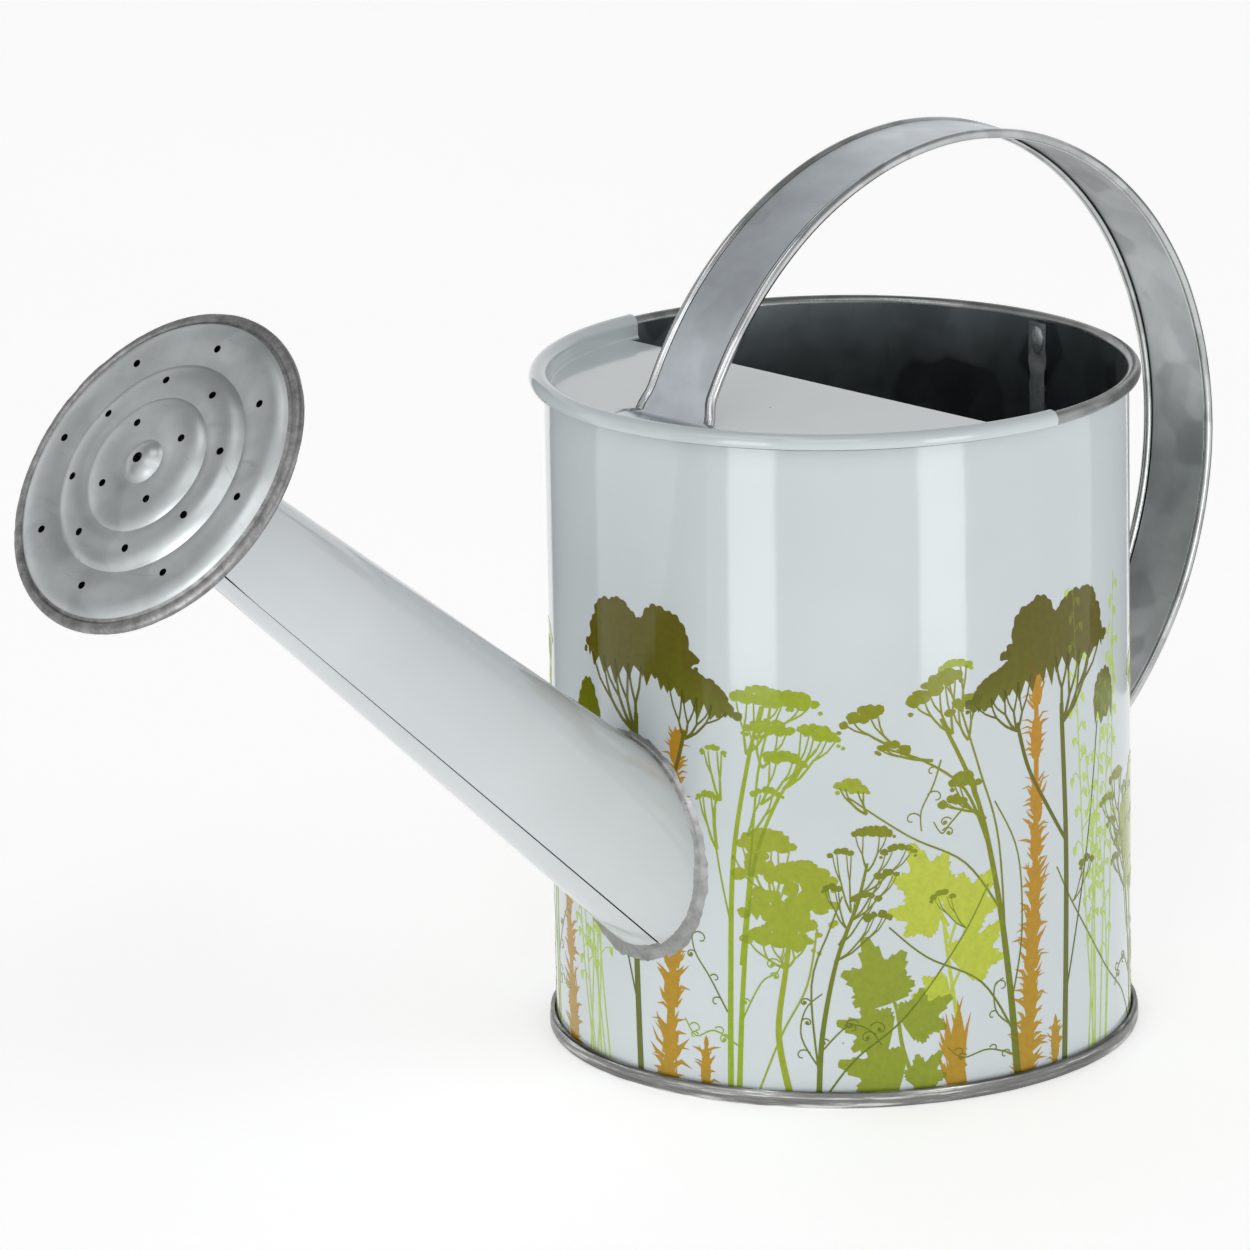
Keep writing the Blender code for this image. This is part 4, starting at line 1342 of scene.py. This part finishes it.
def small_umbels(meadow):
    """A dark, wiry plant with many small heads and curled leaves."""
    meadow.ribbon([(-9.0, 3), (-8.0, 18), (-4.5, 36), (0.5, 50), (3.0, 60)], 1.4, 0.6, "moss", 6)
    meadow.ribbon([(-9.0, 8), (-10.5, 30), (-6.0, 44), (-3.0, 52)], 0.5, 0.4, "moss", 5)
    for foot, x, z, half in (
        ((3.0, 58), 4.0, 66.5, 4.6),
        ((0.5, 52), 10.5, 62.0, 3.8),
        ((-1.0, 48), -3.0, 62.0, 2.7),
        ((-1.0, 46), 8.0, 56.5, 2.4),
        ((-4.0, 40), 2.5, 51.0, 3.0),
        ((-5.0, 36), 5.5, 46.5, 2.4),
        ((-2.0, 44), -5.5, 53.5, 2.0),
    ):
        meadow.umbel(foot, (x, z), half, half * 0.6, "moss", rays=5, lump=1.1, thick=0.5)
    meadow.tendril([(-8.0, 14), (-2.0, 20), (3.0, 19), (6.0, 15)], "moss", 5)
    meadow.tendril([(-8.5, 9), (-13.0, 17), (-12.0, 24), (-8.0, 28)], "moss", 3)
    meadow.ribbon([(-7.0, 3), (0.0, 12), (12.0, 22), (26.0, 40), (33.0, 52)], 0.5, 0.4, "moss", 6)
    meadow.umbel((27.0, 42), (21.0, 50.0), 2.6, 2.0, "moss", rays=3, lump=1.2, thick=0.4)


def leaning_umbels(meadow):
    """A plant that leans from its foot, with heads along its upper side and long thin runners."""
    meadow.stems(
        "moss",
        ([(0, 3), (-2.0, 25), (-5.5, 50), (-11.0, 74), (-20.0, 94)], 2.1, 0.8, 6),
        ([(-8.0, 62), (-14.0, 76), (-24.0, 84), (-34.0, 88)], 0.8, 0.5, 6),
        ([(-3.0, 30), (-5.0, 62), (-10.0, 80), (-15.0, 96)], 0.5, 0.5, 6),
        ([(-1.5, 22), (1.5, 38), (0.5, 58), (-6.0, 72)], 0.45, 0.4, 6),
    )
    meadow.umbel((-17.0, 90), (-21.5, 100.0), 6.4, 5.0, "moss", lump=1.7, tilt=0.45)
    meadow.umbel((-14.5, 95), (-16.5, 105.5), 3.8, 2.2, "lime", "moss", rays=4, lump=1.3, tilt=0.1)
    meadow.umbels(
        "moss",
        ((-30.0, 88), (-39.0, 94.5), 4.6, 3.6, 5, 1.5, 0.35),
        ((-13.0, 88), (-14.0, 96.0), 3.6, 3.0, 5, 1.3, 0.3),
        ((-22.0, 84), (-32.0, 87.0), 3.0, 2.4, 4, 1.4, 0.0),
        ((-8.5, 68), (-14.0, 77.0), 3.4, 3.2, 4, 1.6, 0.0),
        ((-10.0, 70), (-17.0, 72.5), 2.8, 2.0, 3, 1.3, 0.0),
    )
    meadow.ribbon([(-4.0, 44), (-14.0, 58), (-28.0, 66), (-42.0, 76)], 0.6, 0.4, "moss", 6)
    meadow.umbel((-38.0, 72), (-41.5, 77.5), 3.4, 3.0, "green", "moss", rays=3, lump=1.5, tilt=-0.2)
    meadow.ribbon([(-1.0, 14), (-10.0, 28), (-24.0, 36), (-33.0, 44)], 0.6, 0.4, "moss", 6)
    meadow.tendril([(-20.0, 84), (-22.0, 78), (-25.0, 72), (-25.0, 67)], "moss", 3)
    meadow.tendril([(-14.0, 72), (-18.0, 68), (-20.0, 66), (-22.0, 69)], "moss", 2)
    meadow.tendril([(-2.0, 16), (-6.0, 20), (-6.5, 26), (-4.0, 28)], "moss", 2)
    meadow.tendril([(0, 8), (-8.0, 11), (-15.0, 10), (-19.0, 13)], "moss", 4)


def lobed_leaves(meadow):
    """Two leafy shoots, a bright one behind a darker, lower one."""
    meadow.ribbon([(10.0, 20), (8.0, 34), (6.5, 46)], 1.0, 0.6, "bright", 5)
    leaves = ((5.0, 49, 14.0, 112), (10.0, 44, 13.0, 48), (6.0, 46, 11.0, 172), (11.0, 32, 13.0, 42))
    for x, z, size, turn in leaves:
        meadow.ribbon([(8.0, z - 6), (x, z)], 0.7, 0.6, "bright", 2)
        meadow.leaf(x, z, size, math.radians(turn), "bright")
    meadow.leaf(8.0, 28, 8.0, math.radians(190), "bright")
    meadow.ribbon([(0.0, 3), (-3.5, 14), (-5.0, 24), (-8.0, 32)], 1.1, 0.7, "leaf", 5)
    leaves = ((-7.0, 25, 15.0, 108), (-3.0, 19, 11.5, 30), (-6.0, 18, 11.5, 168), (-3.5, 7, 13.5, 166))
    for x, z, size, turn in (*leaves, (-0.5, 4, 9.0, 52)):
        meadow.leaf(x, z, size, math.radians(turn), "leaf")


def tall_spire(meadow, top):
    """A tall orange spire with a slight bow."""
    meadow.spire([(-4.0, 3), (-2.0, 30), (-0.5, 60), (0.0, top)], 7.4, "orange")


def short_spire(meadow):
    """A low orange shoot."""
    meadow.spire([(0, 3), (0.3, 14)], 5.0, "orange")


def flame_clump(meadow):
    """A low clump of upswept orange petals."""
    chance = meadow.chance
    for _ in range(26):
        lean = chance.uniform(-34, 34)
        meadow.petal(
            chance.uniform(-2.2, 2.2),
            3 + chance.uniform(0, 11),
            math.radians(90 - lean),
            chance.uniform(6, 12) * (1.1 - abs(lean) / 60),
            chance.uniform(0.9, 1.8),
            math.radians(chance.uniform(-12, 12)),
            "orange",
        )
    meadow.ribbon([(0, 3), (0, 15)], 5.0, 2.0, "orange", 2)


def grasses(meadow, top):
    """Pale grasses and bell-like seed heads."""
    chance = meadow.chance
    apart = 1.5
    for i in range(7):
        x = (i - 3) * apart + chance.uniform(-1.5, 1.5)
        lean = chance.uniform(-9.0, 9.0)
        bow = chance.uniform(-2.0, 2.0)
        height = top * chance.uniform(0.45, 1.0)
        line = [(x, 3), (x + lean * 0.25 + bow, height * 0.35)]
        line += [(x + lean * 0.55 + bow, height * 0.7), (x + lean, height)]
        meadow.bells(line, "pale", count=int(height / 7))


# One repeat of the print, as (place round the wall, mirror, seed, plant, what the plant needs)
PLAN = (
    (-69.0, 1, 11, grasses, (92.0,)),
    (-54.0, 1, 21, yarrow, ()),
    (-41.0, 1, 31, tall_spire, (88.0,)),
    (-34.2, 1, 32, short_spire, ()),
    (-27.6, 1, 41, airy_umbels, ()),
    (-15.5, 1, 51, green_umbels, ()),
    (3.0, 1, 61, small_umbels, ()),
    (44.0, 1, 71, leaning_umbels, ()),
    (17.5, 1, 81, lobed_leaves, ()),
    (27.5, 1, 33, flame_clump, ()),
    (50.5, 1, 34, tall_spire, (99.0,)),
    (56.0, 1, 35, short_spire, ()),
    (60.0, -1, 22, yarrow, ()),
    (74.0, 1, 12, grasses, (125.0,)),
    (90.0, -1, 62, small_umbels, ()),
    (101.0, -1, 52, green_umbels, ()),
    (124.0, -1, 42, airy_umbels, ()),
    (112.0, 1, 36, flame_clump, ()),
    (133.0, -1, 37, tall_spire, (78.0,)),
)


def ink_at(names, z):
    """The colour where these inks lie over each other."""
    result = None
    for name in names:
        low, high, start, end = INKS[name]
        t = smoothstep(start, end, z)
        colour = [a + (b - a) * t for a, b in zip(low, high)]
        result = colour if result is None else [(a * b) ** 0.64 for a, b in zip(result, colour)]
    return (*result, 1.0)


def on_wall(around_mm, up_mm, proud):
    """The point of the wall under a point of the print, or standing proud of it."""
    turn = FRONT + around_mm * MM / WALL_RADIUS
    radius = WALL_RADIUS - lap_in(math.degrees(turn)) + proud
    return radius * math.cos(turn), radius * math.sin(turn), up_mm * MM


def under_spout(around_mm, up_mm):
    """Whether a point of the print lies under the spout's root."""
    spot = Vector(on_wall(around_mm, up_mm, 0.0)) - SPOUT_ROOT
    along = spot.dot(SPOUT_AXIS)
    off_axis = (spot - along * SPOUT_AXIS).length
    return spot.y < 0.02 and off_axis < spout_radius(along) - 0.0012


def print_outlines(left, right):
    """The outlines that lie on the sheet between its left and right ends, and their inks."""
    meadow = Meadow()
    for shift in (-REPEAT, 0.0, REPEAT):
        for about, mirror, seed, draw, needs in PLAN:
            meadow.start(about + shift, mirror, seed)
            draw(meadow, *needs)
    kept = []
    for outline, colour in zip(meadow.outlines, meadow.inks):
        across = [x for x, _ in outline]
        if max(across) > left and min(across) < right and max(z for _, z in outline) > PRINT_FOOT:
            kept.append((outline, colour))
    return kept


def flat_print(left, right):
    """The print as a flat bmesh with no overlaps, and the inks of each of its faces.
    It is cut into bands, so that it can follow the wall."""
    points, faces, edges, inks = [], [], [], []
    for outline, colour in print_outlines(left, right):
        faces.append(range(len(points), len(points) + len(outline)))
        points += [Vector(p) for p in outline]
        inks.append(colour)
    count = int((right - left) / BAND_WIDTH)
    bands = {round(x, 3) for x in spread(left, right, count)}
    for x in sorted(bands):
        edges.append((len(points), len(points) + 1))
        points += [Vector((x, PRINT_FOOT)), Vector((x, PRINT_TOP))]
    edges.append((len(points), len(points) + 1))
    points += [Vector((left - BAND_WIDTH, PRINT_FOOT)), Vector((right + BAND_WIDTH, PRINT_FOOT))]
    faces = [list(face) for face in faces]
    flat, _, regions, _, _, origins = geometry.delaunay_2d_cdt(points, edges, faces, 3, 1e-5, True)
    shape = bmesh.new()
    mix = shape.faces.layers.int.new("mix")
    mixes = []
    corners = [shape.verts.new((x, z, 0.0)) for x, z in flat]
    for region, origin in zip(regions, origins):
        names = sorted({inks[i] for i in origin})
        middle = sum((flat[i] for i in region), Vector((0, 0))) / len(region)
        outside = not left < middle.x < right or middle.y < PRINT_FOOT
        if not names or outside or under_spout(middle.x, middle.y):
            continue
        if names not in mixes:
            mixes.append(names)
        shape.faces.new([corners[i] for i in region])[mix] = mixes.index(names)
    inner = []
    for edge in shape.edges:
        if len(edge.link_faces) != 2 or edge.link_faces[0][mix] != edge.link_faces[1][mix]:
            continue
        a, b = (round(vertex.co.x, 3) for vertex in edge.verts)
        if not (a in bands and a == b):
            inner.append(edge)
    bmesh.ops.dissolve_edges(shape, edges=inner, use_verts=False)
    loose = [vertex for vertex in shape.verts if not vertex.link_faces]
    bmesh.ops.delete(shape, geom=loose, context="VERTS")
    return shape, mixes


def make_print(look):
    """The print as one thin film laid on the wall: every region of it holds the inks that cover it."""
    right = (math.radians(90 + LAP_HALF_ANGLE) - FRONT) * WALL_RADIUS / MM
    flat, mixes = flat_print(right - 2 * REPEAT, right)
    flat.verts.index_update()
    mix = flat.faces.layers.int["mix"]
    film = bmesh.new()
    layer = film.loops.layers.float_color.new("ink")
    outer = [film.verts.new(on_wall(v.co.x, v.co.y, FILM_PROUD)) for v in flat.verts]
    inner = [film.verts.new(on_wall(v.co.x, v.co.y, -FILM_SUNK)) for v in flat.verts]
    for region in flat.faces:
        names = mixes[region[mix]]
        ring = [vertex.index for vertex in region.verts]
        made = [film.faces.new([outer[i] for i in ring])]
        made.append(film.faces.new([inner[i] for i in reversed(ring)]))
        for loop in region.loops:
            if len(loop.edge.link_faces) == 1:
                a, b = loop.vert.index, loop.link_loop_next.vert.index
                made.append(film.faces.new((outer[b], outer[a], inner[a], inner[b])))
        for face in made:
            for loop in face.loops:
                loop[layer] = ink_at(names, loop.vert.co.z / MM)
    flat.free()
    made = shown("meadow_print", film, [look])
    made.matrix_world = CAN
    place(made, "can", "printed_enamel")


# ---------------------------------------------------------------------------- studio

# The camera, from the foot of the can's axis: metres, and millimetres for its lens and sensor
CAMERA_PLACE = Vector((1.4340, -1.41725, 0.65773))
CAMERA_FORWARD = Vector((-0.7026, 0.6597, -0.2668))
CAMERA_ROLL = math.radians(-1.078)
CAMERA_LENS = 249.83
CAMERA_SENSOR = 36.0
CAMERA_REACH = 20.0
# The strip lights, as (name, turn in degrees about the can's axis), with their distance from it
# and their height, width, length and watts
STRIPS = (("strip_left", -76.0), ("strip_right", -6.6))
STRIP_REACH = 0.42
STRIP_HEIGHT = 0.12
STRIP_WIDE = 0.13
STRIP_LONG = 0.24
STRIP_WATTS = 0.30
# The other soft lights, as (name, place, target, width, height, watts, seen by reflections only)
PANELS = (
    ("key", (0.9, -1.0, 1.6), (0, 0, 0.08), 0.9, 0.9, 4.0, False),
    ("over_rose", (0.0, -0.95, 1.05), ROSE_CENTRE, 0.55, 0.28, 1.1, True),
    ("above_rose", (-0.05, -0.32, 1.15), ROSE_CENTRE, 0.36, 0.36, 0.78, True),
)
# How bright the sky is straight overhead, beside its brightness at the horizon
OVERHEAD = 0.25
# The floor is a light table: it glows a little, as pale product tables do
FLOOR_GLOW = 0.48
# Dark cards beside the can, which draw the edges of a white object as photographers do.
# Only reflections show them. Each has a name, a place, a turn in degrees and a grey.
FLAG_WIDE = 0.20
FLAG_HIGH = 0.24
FLAGS = (
    ("flag_left", (-0.238, -0.010, 0.14), 12.0, 0.015),
    ("flag_right", (0.05, 0.33, 0.14), -75.0, 0.30),
    ("flag_rose", (-0.255, -0.400, 0.24), 42.0, 0.38),
)


def make_floor():
    """A large, pale, faintly mottled floor."""
    look = Look("studio_floor", 0.55, specular=0.1)
    look.colour(look.ramp(look.noise(3.0, 2.0), [(0.3, 0.86), (0.7, 0.88)]))
    look.set(look.shader, "Emission Color", (1.0, 1.0, 1.0, 1.0))
    look.set(look.shader, "Emission Strength", FLOOR_GLOW)
    shape = bmesh.new()
    bmesh.ops.create_circle(shape, cap_ends=True, segments=96, radius=3.0)
    floor = shown("studio_floor", shape, [look.material])


def panel(name, spot, target, wide, high, watts, shine_only):
    """A soft area light facing a target."""
    light = bpy.data.lights.new(name, "AREA")
    light.shape = "RECTANGLE"
    light.size = wide
    light.size_y = high
    light.energy = watts
    made = bpy.data.objects.new(name, light)
    bpy.context.scene.collection.objects.link(made)
    made.location = spot
    made.rotation_euler = (Vector(target) - Vector(spot)).to_track_quat("-Z", "Y").to_euler()
    made.visible_camera = False
    made.visible_diffuse = not shine_only


def make_sky():
    """A white studio, dimmer overhead, that shows as plain white."""
    world = bpy.data.worlds.new("studio")
    bpy.context.scene.world = world
    world.use_nodes = True
    nodes, links = world.node_tree.nodes, world.node_tree.links
    upward = nodes.new("ShaderNodeVectorMath")
    upward.operation = "DOT_PRODUCT"
    links.new(nodes.new("ShaderNodeTexCoord").outputs["Generated"], upward.inputs[0])
    upward.inputs[1].default_value = (0, 0, 1)
    dimmed = nodes.new("ShaderNodeMapRange")
    dimmed.interpolation_type = "SMOOTHSTEP"
    links.new(upward.outputs["Value"], dimmed.inputs["Value"])
    for socket, value in (("From Min", 0.15), ("From Max", 0.95), ("To Min", 1.0), ("To Max", OVERHEAD)):
        dimmed.inputs[socket].default_value = value
    seen = nodes.new("ShaderNodeLightPath").outputs["Is Camera Ray"]
    shown = nodes.new("ShaderNodeMath")
    shown.operation = "MAXIMUM"
    links.new(dimmed.outputs["Result"], shown.inputs[0])
    links.new(seen, shown.inputs[1])
    links.new(shown.outputs[0], nodes["Background"].inputs["Strength"])
    nodes["Background"].inputs["Color"].default_value = (1.0, 1.0, 1.0, 1.0)


def make_flags():
    """The dark cards."""
    for name, spot, turn, grey in FLAGS:
        look = Look(name, 1.0, specular=0.0)
        look.colour(look.ramp(look.noise(5.0), [(0.3, grey), (0.7, grey * 1.1)]))
        shape = bmesh.new()
        bmesh.ops.create_grid(shape, x_segments=1, y_segments=1, size=0.5)
        bmesh.ops.scale(shape, vec=(FLAG_WIDE, FLAG_HIGH, 1.0), verts=shape.verts)
        upright = Matrix.Rotation(math.radians(90), 4, "X")
        upright = Matrix.Rotation(math.radians(90 + turn), 4, "Z") @ upright
        flag = piece(name, shape, [look.material], Matrix.Translation(spot) @ upright)
        flag.visible_camera = False
        flag.visible_shadow = False
        flag.visible_diffuse = False


def make_studio():
    """The sky, the cards and the soft lights."""
    make_sky()
    make_flags()
    bpy.context.scene.view_settings.view_transform = "Standard"
    middle = Vector((0, AXIS_Y, STRIP_HEIGHT))
    for name, degrees in STRIPS:
        spot = middle + Vector(polar(STRIP_REACH, degrees, 0.0))
        panel(name, spot, middle, STRIP_WIDE, STRIP_LONG, STRIP_WATTS, True)
    for row in PANELS:
        panel(*row)


def make_camera():
    """A long lens from the right of the spout, a little above the rim."""
    forward = CAMERA_FORWARD.normalized()
    level = forward.cross(Vector((0, 0, 1))).normalized()
    up = level.cross(forward)
    side = level * math.cos(CAMERA_ROLL) + up * math.sin(CAMERA_ROLL)
    top = up * math.cos(CAMERA_ROLL) - level * math.sin(CAMERA_ROLL)
    turn = Matrix((side, top, -forward)).transposed().to_4x4()
    camera = bpy.data.objects.new("camera", bpy.data.cameras.new("camera"))
    bpy.context.scene.collection.objects.link(camera)
    camera.matrix_world = CAN @ Matrix.Translation(CAMERA_PLACE) @ turn
    camera.data.sensor_width = CAMERA_SENSOR
    camera.data.lens = CAMERA_LENS
    camera.data.clip_end = CAMERA_REACH
    bpy.context.scene.camera = camera


def main():
    """Makes the looks, the pieces and the studio."""
    enamel = enamel_look("white_enamel", (0.672, 0.732, 0.752))
    # A darker copy of the same white enamel for the spout: painted shade
    spout_enamel_shaded = enamel_look("white_enamel_spout_shaded", (0.645, 0.680, 0.695))
    zinc = galvanised_look("zinc_satin", (0.54, 0.57, 0.575), 0.10, 90.0, 0.38, 0.8)
    # The strap's outside is tinted blue: painted reflection of sky
    strap_out_sky_tint = galvanised_look("zinc_strap_outside_sky_tint", (0.625, 0.67, 0.715), 0.08, 110.0, 0.32)
    # Heights over which the strap's inner face takes painted shade, darkest at the top of the handle
    shade_heights = (0.09, 0.21)
    strap_in = galvanised_look("zinc_strap_inside", (0.66, 0.69, 0.70), 0.20, 110.0, 0.36, shade_heights=shade_heights)
    # A dark copy of the zinc for the can's inside and the bottom plate: painted shade for the unlit inside
    # of the can
    inside = galvanised_look("zinc_inside_shaded", (0.23, 0.265, 0.28), 0.42, 80.0, 0.36)
    rim = galvanised_look("zinc_rim", (0.32, 0.325, 0.325), 0.20, 140.0, 0.26)
    dark = shaded_look("shade")
    rolled = galvanised_look("zinc_rolled", (0.58, 0.595, 0.60), 0.20, 140.0, 0.22)
    crimp = crimp_look("zinc_crimp")
    # A near-black zinc for the creases beside the strap's rolls: painted shade
    crease_shade = galvanised_look("zinc_crease_shade", (0.10, 0.10, 0.10), 0.2, 120.0, 0.4)
    seam = seam_look("zinc_seam")
    solder = solder_look("solder_grey", (0.24, 0.245, 0.24), (0.37, 0.375, 0.37))
    solder_dark = solder_look("solder_inside", (0.32, 0.36, 0.37), (0.56, 0.61, 0.62))
    make_wall(enamel, inside, rim)
    make_bottom(seam, inside)
    make_lid(enamel)
    make_side_seam(solder_dark)
    make_spout(spout_enamel_shaded, dark)
    make_spout_fillet(solder)
    make_rose_face(zinc, crimp, dark)
    make_rose_funnel(zinc, crimp)
    make_rose_socket(zinc)
    make_rose_fillet(solder)
    make_strap(strap_out_sky_tint, strap_in, crease_shade, rolled)
    make_print(ink_look("print_inks"))
    for node, look in (("rim_wire", zinc), ("base_seal", sealant_look("sealant_grey"))):
        frame["nodes"][node].data.materials.clear()
        frame["nodes"][node].data.materials.append(look)
    make_floor()
    make_studio()
    make_camera()


main()
